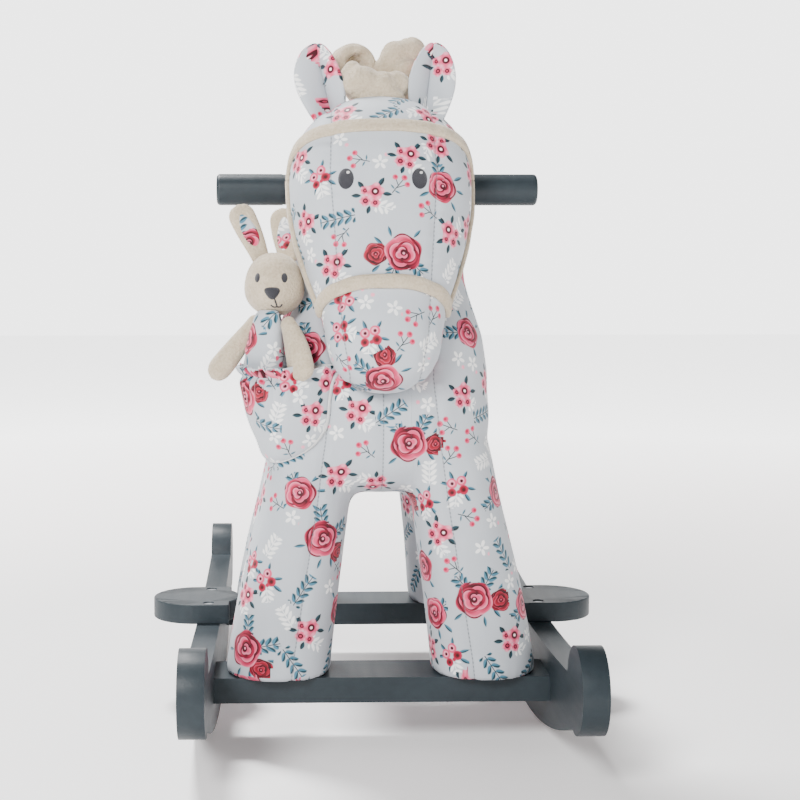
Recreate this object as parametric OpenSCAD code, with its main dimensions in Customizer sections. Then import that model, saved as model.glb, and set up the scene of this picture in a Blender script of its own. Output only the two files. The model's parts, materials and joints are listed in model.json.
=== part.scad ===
// Toddler's rocking horse: a stuffed cloth horse on a painted wooden rocker base,
// with a dowel handle through its head and a soft rabbit in a shoulder pocket.
// Millimetres. +Z up, the horse faces -Y, and +X is the horse's left side.
// The origin is on the floor, under the middle of the two rockers.

/* [Rockers] */
// Length of each rocker from knob to knob
rocker_length = 600; // [560:5:640]
// Thickness of each rocker board
rocker_thick = 20; // [18:0.5:24]
// Distance between the inner faces of the two rockers
rocker_gap = 270; // [264:1:280]
// Radius of the curve that rolls on the floor
roll_radius = 740; // [700:5:800]
// Radius of the shallow curve along the top edge
top_radius = 3125; // [2800:25:3600]
// Height of the top edge over the floor, at the middle
rocker_height = 75; // [70:0.5:80]
// Diameter of the round knob at each end
knob_dia = 66; // [60:1:72]
// Height of the knob's centre over the floor
knob_height = 78; // [75:0.5:82]

/* [Crossbars and footrests] */
// Width of each crossbar along the rockers
bar_width = 54; // [50:1:60]
// Thickness of each crossbar
bar_thick = 20.5; // [18:0.5:22]
// Height of the crossbars' top faces
bar_top = 59; // [57:0.5:61]
// Distance of the front crossbar's middle ahead of the origin
front_bar_y = 130; // [125:1:135]
// Distance of the rear crossbar's middle behind the origin
rear_bar_y = 138; // [133:1:143]
// Width of each footrest along the rocker
rest_width = 76; // [70:1:80]
// Thickness of each footrest
rest_thick = 17; // [15:0.5:18]
// Distance from the centre plane to a footrest's rounded tip
rest_reach = 195; // [190:1:200]

/* [Handle] */
// Diameter of the two grips
grip_dia = 26; // [25:0.5:27]
// Length of the whole handle
handle_length = 268; // [260:1:280]
// Height of the handle over the floor
handle_z = 450; // [448:1:452]
// Distance of the handle ahead of the origin
handle_y = 60; // [58:1:62]

/* [Horse] */
// Thickness of the printed cloth with its fleece backing
skin = 1.5; // [1:0.1:2]
// Width of the band of the bridle
band_width = 10; // [8:0.5:12]
// Thickness of the bridle's plush
band_thick = 4; // [3:0.5:5]
// Half width of the panel down the middle of the face
face_half = 37; // [34:1:40]
// Half width of the two middle panels of the chest and back
gusset_half = 40; // [36:1:44]

/* [Pocket and rabbit] */
// Turn of the pocket from the front to the horse's right side, in degrees
pocket_turn = 46; // [44:1:48]
// Height of the pocket's gathered rim
pocket_rim = 301; // [300:1:302]
// Radius of the rabbit's head
rabbit_head_r = 24; // [23:0.25:24.5]
// Radius of the thick end of a rabbit's arm
rabbit_arm_r = 9; // [8:0.5:9.5]

/* [Hidden] */
$fn = 64;

paint = [0.33, 0.39, 0.42];
raw_wood = [0.80, 0.66, 0.46];
steel = [0.65, 0.66, 0.68];
cloth = [0.80, 0.82, 0.84];
plush = [0.86, 0.80, 0.72];
fibre = [0.95, 0.95, 0.92];
charcoal = [0.20, 0.20, 0.22];

gap = 0.3;
far = 700;
knob_y = rocker_length / 2 - knob_dia / 2;
rocker_x = rocker_gap / 2 + rocker_thick / 2;
bar_bottom = bar_top - bar_thick;
rest_inner = rocker_gap / 2 - 8;
rest_r = rest_width / 2;
rest_top = rocker_height + rest_thick;
rest_screw_y = 29;
rest_screw_len = 44;
screw_sunk = 1;

// Bolts, dowels and screws
bolt_r = 3;
bolt_head_r = 5;
bolt_head_h = 5;
barrel_r = 5;
barrel_h = 14;
barrel_x = rocker_gap / 2 - 30;
dowel_r = 4;
dowel_half = 12;
dowel_y = 18;
screw_r = 2.25;
screw_head_r = 4.5;
screw_head_h = 3;
leg_bolt_r = 4;
leg_head_r = 7;
leg_head_h = 4.4;
washer_r = 10;
washer_h = 1.6;
insert_r = 6;
insert_h = 20;
leg_bolt_top = 102;
leg_bolt_clear = 2;
leg_head_recess = 1.2;
neck_screw_y = [-70, -50];
neck_screw_len = 60;
handle_screw_len = 30;

// Inner frame
board_low = 225;
board_high = 240;
board_half = 70;
board_corner = 30;
board_front = -146;
board_rear = 150;
post_r = 14;
post_foot_x = 82;
post_lean = 11;
post_spare = 20;
front_post_y = -124;
rear_post_y = 130;
neck_half = 18;
neck_front = -82;
neck_rear = -38;
neck_top = 470;
core_r = grip_dia / 2 - 0.5;
core_half = 79;
handle_nose = 3;
brace_half = 9;
brace_rear = 56;
brace_rear_top = 326;
brace_front = 36;
brace_front_top = 296;

// Stations of the soft forms: [x, y, z, tilt, half width, half depth]
torso = [
    [0, 183, 276, 0, 14, 14], [0, 177, 276, 0, 44, 38], [0, 160, 274, 0, 69, 55],
    [0, 128, 272, 0, 83, 65], [0, 80, 271, 0, 88, 68], [0, 20, 270, 0, 86, 67],
    [0, -40, 268, 0, 88, 66], [0, -90, 266, 0, 92, 64], [0, -125, 264, 0, 88, 61],
    [0, -147, 264, 0, 74, 53], [0, -159, 266, 0, 52, 41], [0, -165, 268, 0, 20, 18]
];
neck = [
    [0, -98, 240, 90, 80, 56], [0, -100, 270, 90, 88, 61], [0, -100, 300, 90, 89, 61],
    [0, -96, 330, 90, 85, 59], [0, -91, 352, 90, 77, 56], [0, -87, 372, 90, 71, 53],
    [0, -84, 400, 90, 68, 51], [0, -80, 430, 90, 65, 50], [0, -76, 456, 90, 58, 47],
    [0, -74, 476, 90, 40, 38]
];
head_tilt = -64.3;
head = [
    [0, -75, 518, head_tilt, 16, 14], [0, -80, 507, head_tilt, 42, 37],
    [0, -87, 492, head_tilt, 61, 49], [0, -95, 476, head_tilt, 71, 55],
    [0, -104, 456, head_tilt, 74.5, 57], [0, -118, 428, head_tilt, 73, 54],
    [0, -131, 400, head_tilt, 67, 49], [0, -143, 376, head_tilt, 59, 43],
    [0, -152, 356, head_tilt, 51, 39], [0, -161, 337, head_tilt, 47, 38],
    [0, -170, 318, head_tilt, 44, 35], [0, -178, 302, head_tilt, 34, 27],
    [0, -183, 292, head_tilt, 14, 11]
];
front_leg = [
    [84, -130, 59, 90, 43, 43], [80, -128, 90, 90, 42, 42], [74, -126, 130, 90, 40.5, 42],
    [66, -122, 172, 90, 38, 44], [60, -118, 204, 90, 36, 46], [54, -112, 240, 90, 36, 46],
    [50, -108, 262, 90, 30, 38]
];
rear_leg = [
    [85, 138, 59, 90, 43, 43], [81, 136, 90, 90, 41, 42], [75, 133, 130, 90, 38, 42],
    [67, 128, 172, 90, 35, 43], [61, 123, 204, 90, 34, 44], [55, 117, 240, 90, 34, 44],
    [51, 112, 262, 90, 28, 36]
];
roundness = 2.3;

// Base, middle and tip of each ear
left_ear = [[42, -98, 505], [45, -94, 536], [48, -92, 564]];
right_ear = [[-37, -98, 505], [-51, -94, 536], [-56, -92, 564]];
// Tufts of the mane and points of the tail: [x, y, z, radius]
tufts = [
    [-9, -97, 530, 17], [8, -88, 538, 18], [-12, -70, 546, 21], [16, -58, 549, 22],
    [-4, -42, 538, 20], [2, -27, 512, 19], [-2, -19, 484, 18], [2, -16, 456, 17],
    [-2, -17, 428, 16], [2, -19, 400, 15]
];
tail_points = [[0, 186, 306, 13], [0, 202, 290, 15], [0, 208, 232, 17]];
saddle_front = -26;
saddle_rear = 110;
saddle_low = 296;
saddle_thick = 6;
neck_clear = 12;

// Bridle: where the middle of each band crosses the head, as [y, z], and its slope
head_slope = 90 + head_tilt;
brow_at = [-96, 474];
nose_at = [-149, 344];
nose_slope = 42;
cheek_at = [-118, 428];
cheek_up = 40;
cheek_down = 86;
eye_x = 29;
eye_z = 456;
eye_size = [14, 19];

// Number of facets round the large, the middle and the small soft forms
body_seg = 28;
leg_seg = 20;
small_seg = 12;

// Pocket, in its own turned frame: the pouch faces -Y there. Spots of the rabbit's face
// are [across, up, radius].
pocket_centre = [-80, -122, 0];
pouch = [
    [0, -6, 221, 90, 12, 8], [0, -6, 228, 90, 25, 16], [0, -6, 243, 90, 34, 24],
    [0, -6, 264, 90, 38, 29], [0, -6, 285, 90, 39, 30], [0, -6, pocket_rim, 90, 37, 28]
];
pouch_wall = 2;
pouch_above = 10;
patch_thick = 3;
patch_at = [6, 258];
patch_r = 42;
rabbit_body = [
    [2, -12, 250, 90, 10, 3], [2, -13.5, 262, 90, 17, 4.5], [1, -17, 284, 90, 20, 8],
    [0, -20, 304, 90, 19, 10.5], [-1, -21, 322, 90, 15, 10.5], [-2, -20, 338, 90, 11, 9],
    [-2, -19, 349, 90, 8, 7]
];
rabbit_head_at = [-89, -127.5, 372];
rabbit_ear_l = [[-78, -122, 392], [-79, -100, 408], [-80, -90, 428]];
rabbit_ear_r = [[-98, -120, 391], [-108, -112, 410], [-117, -104, 430]];
left_arm = [[-71, -151, 336], [-61, -166, 305]];
right_arm = [[-103, -122, 338], [-134, -116, 303]];
arm_top_r = 6.5;
arm_gap = 1.3;
// Direction and length of the rabbit's way out of the pocket
lift_way = [-0.272, -0.1301, 0.9535];
lift_length = 90;
lining_r = 4;
lining_ahead = [0, -6, -1];
rabbit_face_turn = 8;
rabbit_eye = [11, 4, 2.6];
rabbit_nose = [0, -6, 5];

function bent(v, n) = sign(v) * pow(abs(v), 2 / n);

// Points of one station, grown outwards by g and moved along the path by s
function station_ring(p, seg, g, s) = [
    for (i = [0:seg - 1])
        let (a = 360 * i / seg, u = bent(cos(a), roundness) * (p[4] + g),
             v = bent(sin(a), roundness) * (p[5] + g))
            [p[0] + u, p[1] + v * sin(p[3]) - s * cos(p[3]), p[2] + v * cos(p[3]) + s * sin(p[3])]
];

// A closed form through a list of stations
module loft(stations, seg, g = 0) {
    last = len(stations) - 1;
    points = [
        for (k = [0:last])
            each station_ring(stations[k], seg, g, k == 0 ? -g : k == last ? g : 0)
    ];
    sides = [
        for (k = [0:last - 1], i = [0:seg - 1])
            let (j = (i + 1) % seg, a = k * seg)
                each [[a + i, a + seg + j, a + j], [a + i, a + seg + i, a + seg + j]]
    ];
    start = [for (i = [0:seg - 1]) i];
    finish = [for (i = [seg - 1:-1:0]) last * seg + i];
    polyhedron(points, concat([start], sides, [finish]));
}

// Cloth and stuffing are free-form: a resize to no new size keeps each as one mesh.
module soft(tone) {
    $fn = 32;
    color(tone) resize([0, 0, 0]) children();
}

// The left side's form as it is, or mirrored for the right side
module mirrored(side) {
    if (side < 0) mirror([1, 0, 0]) children();
    else children();
}

module at_pocket() {
    translate(pocket_centre) rotate([0, 0, -pocket_turn]) children();
}

// ---- Rocker base ----

module rocker_outline() {
    difference() {
        union() {
            intersection() {
                translate([0, roll_radius]) circle(r = roll_radius, $fn = 256);
                translate([-knob_y, 0]) square([2 * knob_y, roll_radius / 2]);
            }
            for (end = [-1, 1])
                translate([end * knob_y, knob_height]) circle(d = knob_dia);
        }
        difference() {
            translate([0, rocker_height + top_radius]) circle(r = top_radius, $fn = 256);
            for (end = [-1, 1])
                translate([end * knob_y, knob_height]) circle(d = knob_dia);
        }
    }
}

module rocker(side) {
    difference() {
        mirrored(side) translate([rocker_gap / 2, 0, 0]) rotate([90, 0, 90])
            linear_extrude(rocker_thick) rocker_outline();
        // Flat seat under the footrest
        mirrored(side) translate([rocker_gap / 2 - 1, -rest_r, rocker_height])
            cube([rocker_thick + 2, rest_width, rest_thick]);
        crossbar_bolt_holes(side);
        dowel_set(side, 0);
        rest_screw_set(side);
    }
}

module bar_ends(side) {
    for (y = [-front_bar_y, rear_bar_y])
        mirrored(side) translate([0, y, bar_top - bar_thick / 2]) children();
}

module crossbar_bolt_holes(side) {
    bar_ends(side) {
        translate([barrel_x, 0, 0]) rotate([0, 90, 0]) cylinder(h = far, r = bolt_r);
        translate([rocker_x + rocker_thick / 2 - bolt_head_h, 0, 0]) rotate([0, 90, 0])
            cylinder(h = far, r = bolt_head_r);
    }
}

module dowel_set(side, inset) {
    bar_ends(side)
        for (y = [-dowel_y, dowel_y])
            translate([rocker_gap / 2 - dowel_half + inset, y, 0]) rotate([0, 90, 0])
                cylinder(h = 2 * (dowel_half - inset), r = dowel_r);
}

module crossbar(y, post_y) {
    difference() {
        translate([-rocker_gap / 2, y - bar_width / 2, bar_bottom])
            cube([rocker_gap, bar_width, bar_thick]);
        for (side = [-1, 1]) {
            crossbar_bolt_holes(side);
            dowel_set(side, 0);
            mirrored(side) translate([barrel_x, y, bar_bottom - 1])
                cylinder(h = bar_thick / 2 + barrel_h / 2 + 1, r = barrel_r);
            mirrored(side) translate([post_foot_x, post_y, bar_bottom - 1]) {
                cylinder(h = bar_thick + 2, r = leg_bolt_r);
                cylinder(h = leg_head_h + washer_h + leg_head_recess, r = washer_r + gap);
            }
        }
    }
}

module crossbar_bolts() {
    color(steel) for (side = [-1, 1]) bar_ends(side) {
        difference() {
            translate([rocker_gap / 2 + rocker_thick - bolt_head_h, 0, 0]) rotate([0, 90, 0])
                cylinder(h = bolt_head_h, r = bolt_head_r);
            translate([rocker_gap / 2 + rocker_thick - bolt_head_h / 2, 0, 0]) rotate([0, 90, 0])
                cylinder(h = bolt_head_h, r = bolt_r * 0.8, $fn = 6);
        }
        translate([barrel_x, 0, 0]) rotate([0, 90, 0])
            cylinder(h = rocker_gap / 2 + rocker_thick - bolt_head_h - barrel_x, r = bolt_r);
    }
}

module barrel_nuts() {
    color(steel) for (side = [-1, 1]) bar_ends(side)
        difference() {
            translate([barrel_x, 0, -barrel_h / 2]) cylinder(h = barrel_h, r = barrel_r);
            translate([barrel_x, 0, 0]) rotate([0, 90, 0]) cylinder(h = far, r = bolt_r);
        }
}

module locating_dowels() {
    color(raw_wood) for (side = [-1, 1]) dowel_set(side, 0);
}

module rest_screw_set(side) {
    for (y = [-rest_screw_y, rest_screw_y])
        mirrored(side) translate([rocker_x, y, 0]) {
            translate([0, 0, rest_top - screw_sunk - rest_screw_len])
                cylinder(h = rest_screw_len, r = screw_r);
            translate([0, 0, rest_top - screw_head_h - screw_sunk])
                cylinder(h = screw_head_h, r1 = screw_r, r2 = screw_head_r);
        }
}

module footrest(side) {
    color(paint) difference() {
        mirrored(side) translate([0, 0, rocker_height]) linear_extrude(rest_thick) {
            translate([rest_inner, -rest_r]) square([rest_reach - rest_r - rest_inner, rest_width]);
            translate([rest_reach - rest_r, 0]) circle(r = rest_r);
        }
        rest_screw_set(side);
        // Recess over each screw's head
        for (y = [-rest_screw_y, rest_screw_y])
            mirrored(side) translate([rocker_x, y, rest_top - screw_sunk])
                cylinder(h = 2 * screw_sunk, r = screw_head_r);
    }
}

module footrest_screws() {
    color(steel) for (side = [-1, 1]) rest_screw_set(side);
}

// ---- Inner frame ----

module post_axis(side, y, r) {
    mirrored(side) translate([post_foot_x, y, bar_top]) rotate([0, -post_lean, 0])
        translate([0, 0, -post_spare]) cylinder(h = board_high - bar_top + 3 * post_spare, r = r);
}

module post_solid(side, y, r) {
    intersection() {
        post_axis(side, y, r);
        translate([-far / 2, y - far / 2, bar_top]) cube([far, far, board_high - bar_top]);
    }
}

module post_bores(side, y) {
    mirrored(side) translate([post_foot_x, y, bar_top - 1]) {
        cylinder(h = leg_bolt_top - bar_top + 1 + leg_bolt_clear, r = leg_bolt_r);
        cylinder(h = insert_h + 2, r = insert_r);
    }
}

module post(side, y) {
    color(raw_wood) difference() {
        post_solid(side, y, post_r);
        post_bores(side, y);
    }
}

module board_solid(g = 0) {
    x = board_half - board_corner;
    translate([0, 0, board_low - g]) linear_extrude(board_high - board_low + 2 * g) {
        for (u = [-x, x], v = [board_front + board_corner, board_rear - board_corner])
            translate([u, v]) circle(r = board_corner + g);
        translate([-x, board_front - g]) square([2 * x, board_rear - board_front + 2 * g]);
        translate([-board_half - g, board_front + board_corner])
            square([2 * (board_half + g), board_rear - board_front - 2 * board_corner]);
    }
}

module body_board() {
    color(raw_wood) difference() {
        board_solid();
        for (side = [-1, 1], y = [front_post_y, rear_post_y]) post_axis(side, y, post_r);
        neck_screw_set();
    }
}

module neck_solid(g = 0) {
    translate([-neck_half - g, neck_front - g, board_high])
        cube([2 * (neck_half + g), neck_rear - neck_front + 2 * g, neck_top - board_high + g]);
}

module neck_screw_set() {
    for (y = neck_screw_y) translate([0, y, board_low]) {
        cylinder(h = screw_head_h, r1 = screw_head_r, r2 = screw_r);
        cylinder(h = neck_screw_len, r = screw_r);
    }
}

module neck_screws() {
    color(steel) neck_screw_set();
}

module handle_screw_solid() {
    translate([0, neck_rear, handle_z]) rotate([90, 0, 0]) {
        cylinder(h = screw_head_h, r1 = screw_head_r, r2 = screw_r);
        cylinder(h = handle_screw_len, r = screw_r);
    }
}

module neck_post() {
    color(raw_wood) difference() {
        neck_solid();
        neck_screw_set();
        handle_screw_solid();
        translate([-far / 2, -handle_y, handle_z]) rotate([0, 90, 0])
            cylinder(h = far, r = core_r);
    }
}

module brace_solid(g = 0) {
    rear = [[neck_rear, board_high], [neck_rear + brace_rear + g, board_high],
            [neck_rear, brace_rear_top + g]];
    front = [[neck_front, board_high], [neck_front, brace_front_top + g],
             [neck_front - brace_front - g, board_high]];
    for (outline = [rear, front])
        translate([-brace_half - g, 0, 0]) rotate([90, 0, 90])
            linear_extrude(2 * (brace_half + g)) polygon(outline);
}

module neck_braces() {
    color(raw_wood) brace_solid();
}

module handle() {
    half = handle_length / 2;
    r = grip_dia / 2;
    color(paint) difference() {
        translate([0, -handle_y, handle_z]) rotate([0, 90, 0]) union() {
            for (end = [0, 180]) rotate([end, 0, 0]) {
                translate([0, 0, core_half]) cylinder(h = half - handle_nose - core_half, r = r);
                rotate_extrude() union() {
                    translate([0, half - handle_nose]) square([r - handle_nose, handle_nose]);
                    translate([r - handle_nose, half - handle_nose]) intersection() {
                        circle(r = handle_nose);
                        square(handle_nose);
                    }
                }
            }
            translate([0, 0, -core_half]) cylinder(h = 2 * core_half, r = core_r);
        }
        handle_screw_solid();
    }
}

module handle_screw() {
    color(steel) handle_screw_solid();
}

module leg_fixings() {
    for (side = [-1, 1], y = [front_post_y, rear_post_y])
        mirrored(side) translate([post_foot_x, y, bar_bottom + 0.2]) children();
}

module leg_bolts() {
    color(steel) leg_fixings() {
        cylinder(h = leg_head_h, r = leg_head_r);
        cylinder(h = leg_bolt_top - bar_bottom, r = leg_bolt_r);
    }
}

module leg_washers() {
    color(steel) leg_fixings() translate([0, 0, leg_head_h]) difference() {
        cylinder(h = washer_h, r = washer_r);
        cylinder(h = washer_h, r = leg_bolt_r);
    }
}

module leg_inserts() {
    color(steel) for (side = [-1, 1], y = [front_post_y, rear_post_y])
        mirrored(side) translate([post_foot_x, y, bar_top + 1]) difference() {
            cylinder(h = insert_h, r = insert_r);
            cylinder(h = insert_h, r = leg_bolt_r);
        }
}

// Space that the wooden frame takes inside the stuffing
module frame_space() {
    board_solid(gap);
    neck_solid(gap);
    brace_solid(gap);
    for (side = [-1, 1], y = [front_post_y, rear_post_y]) post_solid(side, y, post_r + gap);
    translate([-far / 2, -handle_y, handle_z]) rotate([0, 90, 0])
        cylinder(h = far, r = grip_dia / 2 + gap);
}

// ---- Stuffed horse ----

module body_form(g = 0) {
    loft(torso, body_seg, g);
    loft(neck, body_seg, g);
}

module head_form(g = 0) {
    loft(head, body_seg, g);
}

module leg_form(side, stations, g = 0) {
    mirrored(side) intersection() {
        loft(stations, leg_seg, g);
        translate([-far / 2, -far / 2, bar_top]) cube(far);
    }
}

module all_legs(g = 0) {
    for (side = [-1, 1], stations = [front_leg, rear_leg]) leg_form(side, stations, g);
}

module body_filling() {
    soft(fibre) difference() {
        body_form();
        head_form();
        frame_space();
    }
}

module body_cover() {
    difference() {
        body_form(skin);
        body_form();
        head_form(skin);
        all_legs();
        frame_space();
    }
}

// A slab between two x values
module between_x(low, high) {
    translate([low, -far / 2, 0]) cube([high - low, far, far]);
}

module body_panel(low, high) {
    soft(cloth) intersection() {
        body_cover();
        between_x(low, high);
    }
}

module head_filling() {
    soft(fibre) difference() {
        head_form();
        frame_space();
    }
}

module head_panel(low, high) {
    soft(cloth) intersection() {
        difference() {
            head_form(skin);
            head_form();
            body_form();
            frame_space();
        }
        between_x(low, high);
    }
}

module leg_filling(side, stations) {
    soft(fibre) difference() {
        leg_form(side, stations);
        body_form();
        frame_space();
        translate([-far / 2, -far / 2, bar_top]) cube([far, far, skin]);
    }
}

module leg_cover(side, stations) {
    soft(cloth) difference() {
        leg_form(side, stations, skin);
        leg_form(side, stations);
        body_form(skin);
    }
}

module leg_soles() {
    soft(cloth) difference() {
        intersection() {
            all_legs();
            translate([-far / 2, -far / 2, bar_top]) cube([far, far, skin]);
        }
        frame_space();
    }
}

// A folded ear: a flattened leaf with a hollow that faces forwards
module ear(points) {
    soft(cloth) difference() {
        hull($fn = small_seg) {
            translate(points[0]) sphere(r = 7);
            translate(points[1]) scale([1, 0.62, 1.25]) sphere(r = 18);
            translate(points[2]) sphere(r = 5);
        }
        hull($fn = small_seg) {
            translate(points[0] + [0, -14, 14]) sphere(r = 3);
            translate(points[1] + [0, -12, 2]) scale([1, 1, 1.6]) sphere(r = 9);
            translate(points[2] + [0, -12, -8]) sphere(r = 4);
        }
        head_form(skin);
    }
}

// Loops of fleece, from the forelock over the head and down the neck
module mane() {
    soft(plush) difference() {
        for (t = tufts) translate([t[0], t[1], t[2]]) sphere(r = t[3], $fn = small_seg);
        head_form(skin);
        body_form(skin);
    }
}

module tail() {
    soft(plush) difference() {
        hull($fn = small_seg)
            for (t = tail_points) translate([t[0], t[1], t[2]]) sphere(r = t[3]);
        body_form(skin);
    }
}

module saddle() {
    soft(plush) difference() {
        intersection() {
            body_form(skin + saddle_thick);
            translate([-far / 2, saddle_front, saddle_low])
                cube([far, saddle_rear - saddle_front, far]);
        }
        body_form(skin);
        loft(neck, body_seg, skin + neck_clear);
    }
}

// ---- Bridle and face ----

module head_band() {
    soft(plush) intersection() {
        difference() {
            head_form(skin + band_thick);
            head_form(skin);
            body_form(skin);
            frame_space();
        }
        children();
    }
}

// Moves to a point of the head's middle line, turned so that +Z runs up the head
module on_head(at, slope) {
    translate([-far / 2, at[0], at[1]]) rotate([-slope, 0, 0]) children();
}

module band_slab(at, slope) {
    on_head(at, slope) translate([0, -far, -band_width / 2]) cube([far, far, band_width]);
}

module browband() {
    head_band() band_slab(brow_at, head_slope);
}

module noseband() {
    head_band() band_slab(nose_at, nose_slope);
}

// Straps from the browband down the sides of the head
module cheek_straps() {
    head_band() difference() {
        on_head(cheek_at, head_slope) translate([0, -band_width / 2, -cheek_down])
            cube([far, band_width, cheek_up + cheek_down]);
        band_slab(brow_at, head_slope);
        on_head(nose_at, nose_slope) translate([0, -far / 2, -far])
            cube([far, far, far + band_width / 2]);
        // The plush gives where the rabbit's head passes it
        hull() for (way = [0, lift_length])
            translate(way * lift_way) rabbit_head_solid(2 * gap);
    }
}

module eyes() {
    soft(charcoal) intersection() {
        difference() {
            head_form(skin + 1);
            head_form(skin);
        }
        for (x = [-eye_x, eye_x]) translate([x, cheek_at[0], eye_z]) rotate([90, 0, 0])
            linear_extrude(far / 2) resize(eye_size) circle(r = 1);
    }
}

// ---- Pocket ----

// A rounded patch on the shoulder that carries the pouch
module pocket_back() {
    soft(cloth) intersection() {
        difference() {
            body_form(skin + patch_thick);
            body_form(skin);
            leg_form(-1, front_leg, skin);
            frame_space();
        }
        at_pocket() rotate([90, 0, 0]) linear_extrude(2 * patch_r) translate(patch_at) {
            circle(r = patch_r);
            translate([-patch_r, 0]) square([2 * patch_r, pocket_rim - patch_at[1]]);
        }
    }
}

module pouch_hollow() {
    loft(pouch, body_seg, -pouch_wall);
    top = pouch[len(pouch) - 1];
    loft([top - [0, 0, 3 * pouch_wall, 0, 0, 0], top + [0, 0, pouch_above, 0, 0, 0]],
         body_seg, -pouch_wall);
}

module pocket_pouch() {
    soft(cloth) difference() {
        at_pocket() difference() {
            loft(pouch, body_seg);
            pouch_hollow();
        }
        body_form(skin + patch_thick);
        leg_form(-1, front_leg, skin);
    }
}

// ---- Rabbit ----

module rabbit_head_solid(g = 0) {
    translate(rabbit_head_at) sphere(r = rabbit_head_r + g);
}

module rabbit_head() {
    color(plush) rabbit_head_solid();
}

module rabbit_body() {
    soft(cloth) difference() {
        at_pocket() loft(rabbit_body, body_seg);
        body_form(skin + patch_thick + gap);
        leg_form(-1, front_leg, skin + gap);
        rabbit_head_solid(gap);
        rabbit_arm_solid(left_arm, arm_gap);
        rabbit_arm_solid(right_arm, arm_gap);
    }
}

module rabbit_ear(points, g = 0) {
    for (i = [0:1]) hull($fn = small_seg) {
        translate(points[i]) sphere(r = 5 + 2 * i + g);
        translate(points[i + 1]) sphere(r = 7 + g);
    }
}

module rabbit_ears() {
    soft(plush) difference() {
        union() {
            rabbit_ear(rabbit_ear_l);
            rabbit_ear(rabbit_ear_r);
        }
        rabbit_head_solid(gap);
        rabbit_lining_solid();
    }
}

module rabbit_lining_solid() {
    for (ear = [rabbit_ear_l, rabbit_ear_r]) hull($fn = small_seg) {
        translate(ear[1] + lining_ahead) sphere(r = lining_r);
        translate(ear[2] + lining_ahead) sphere(r = lining_r);
    }
}

module rabbit_ear_linings() {
    soft(cloth) difference() {
        rabbit_lining_solid();
        rabbit_head_solid(gap);
    }
}

module rabbit_face() {
    soft(charcoal) difference() {
        intersection() {
            rabbit_head_solid(1);
            translate(rabbit_head_at) rotate([90, 0, -rabbit_face_turn])
                for (spot = [rabbit_eye, [-rabbit_eye[0], rabbit_eye[1], rabbit_eye[2]], rabbit_nose])
                    translate([spot[0], spot[1], 0]) cylinder(h = 2 * rabbit_head_r, r = spot[2]);
        }
        rabbit_head_solid(gap);
    }
}

module rabbit_arm_solid(arm, g = 0) {
    hull($fn = small_seg) {
        translate(arm[0]) sphere(r = arm_top_r + g);
        translate(arm[1]) sphere(r = rabbit_arm_r + g);
    }
}

module rabbit_arm(arm) {
    soft(plush) difference() {
        rabbit_arm_solid(arm);
        rabbit_head_solid(gap);
    }
}

color(paint) rocker(1);  // left_rocker
color(paint) rocker(-1);  // right_rocker
color(paint) crossbar(-front_bar_y, front_post_y);  // front_crossbar
color(paint) crossbar(rear_bar_y, rear_post_y);  // rear_crossbar
crossbar_bolts();
barrel_nuts();
locating_dowels();
footrest(1);  // left_footrest
footrest(-1);  // right_footrest
footrest_screws();
body_board();
neck_post();
neck_braces();
neck_screws();
handle();
handle_screw();
post(1, front_post_y);  // front_left_post
post(-1, front_post_y);  // front_right_post
post(1, rear_post_y);  // rear_left_post
post(-1, rear_post_y);  // rear_right_post
leg_bolts();
leg_washers();
leg_inserts();
body_filling();
body_panel(gusset_half, far);  // left_body_cover
body_panel(-far, -gusset_half);  // right_body_cover
body_panel(0, gusset_half);  // left_gusset
body_panel(-gusset_half, 0);  // right_gusset
head_filling();
head_panel(-face_half, face_half);  // face_panel
head_panel(face_half, far);  // left_cheek
head_panel(-far, -face_half);  // right_cheek
leg_filling(1, front_leg);  // front_left_filling
leg_filling(-1, front_leg);  // front_right_filling
leg_filling(1, rear_leg);  // rear_left_filling
leg_filling(-1, rear_leg);  // rear_right_filling
leg_cover(1, front_leg);  // front_left_cover
leg_cover(-1, front_leg);  // front_right_cover
leg_cover(1, rear_leg);  // rear_left_cover
leg_cover(-1, rear_leg);  // rear_right_cover
leg_soles();
ear(left_ear);
ear(right_ear);
mane();
tail();
saddle();
browband();
cheek_straps();
noseband();
eyes();
pocket_back();
pocket_pouch();
rabbit_head();
rabbit_body();
rabbit_ears();
rabbit_ear_linings();
rabbit_face();
rabbit_arm(left_arm);  // rabbit_left_arm
rabbit_arm(right_arm);  // rabbit_right_arm
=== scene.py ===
"""Looks for the toddler's rocking horse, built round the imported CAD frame.

Metres, +Z up, the horse faces -Y and +X is its left side. Local sizes in millimetres are
multiplied by MM. The printed cloth is drawn by shaders: each face belongs to the nearest
printed motif, and its corners carry the place inside that motif in millimetres.
"""

import json
import math
import random

import bmesh
import bpy
import numpy as np
from mathutils import Matrix, Vector
from mathutils.bvhtree import BVHTree


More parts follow.
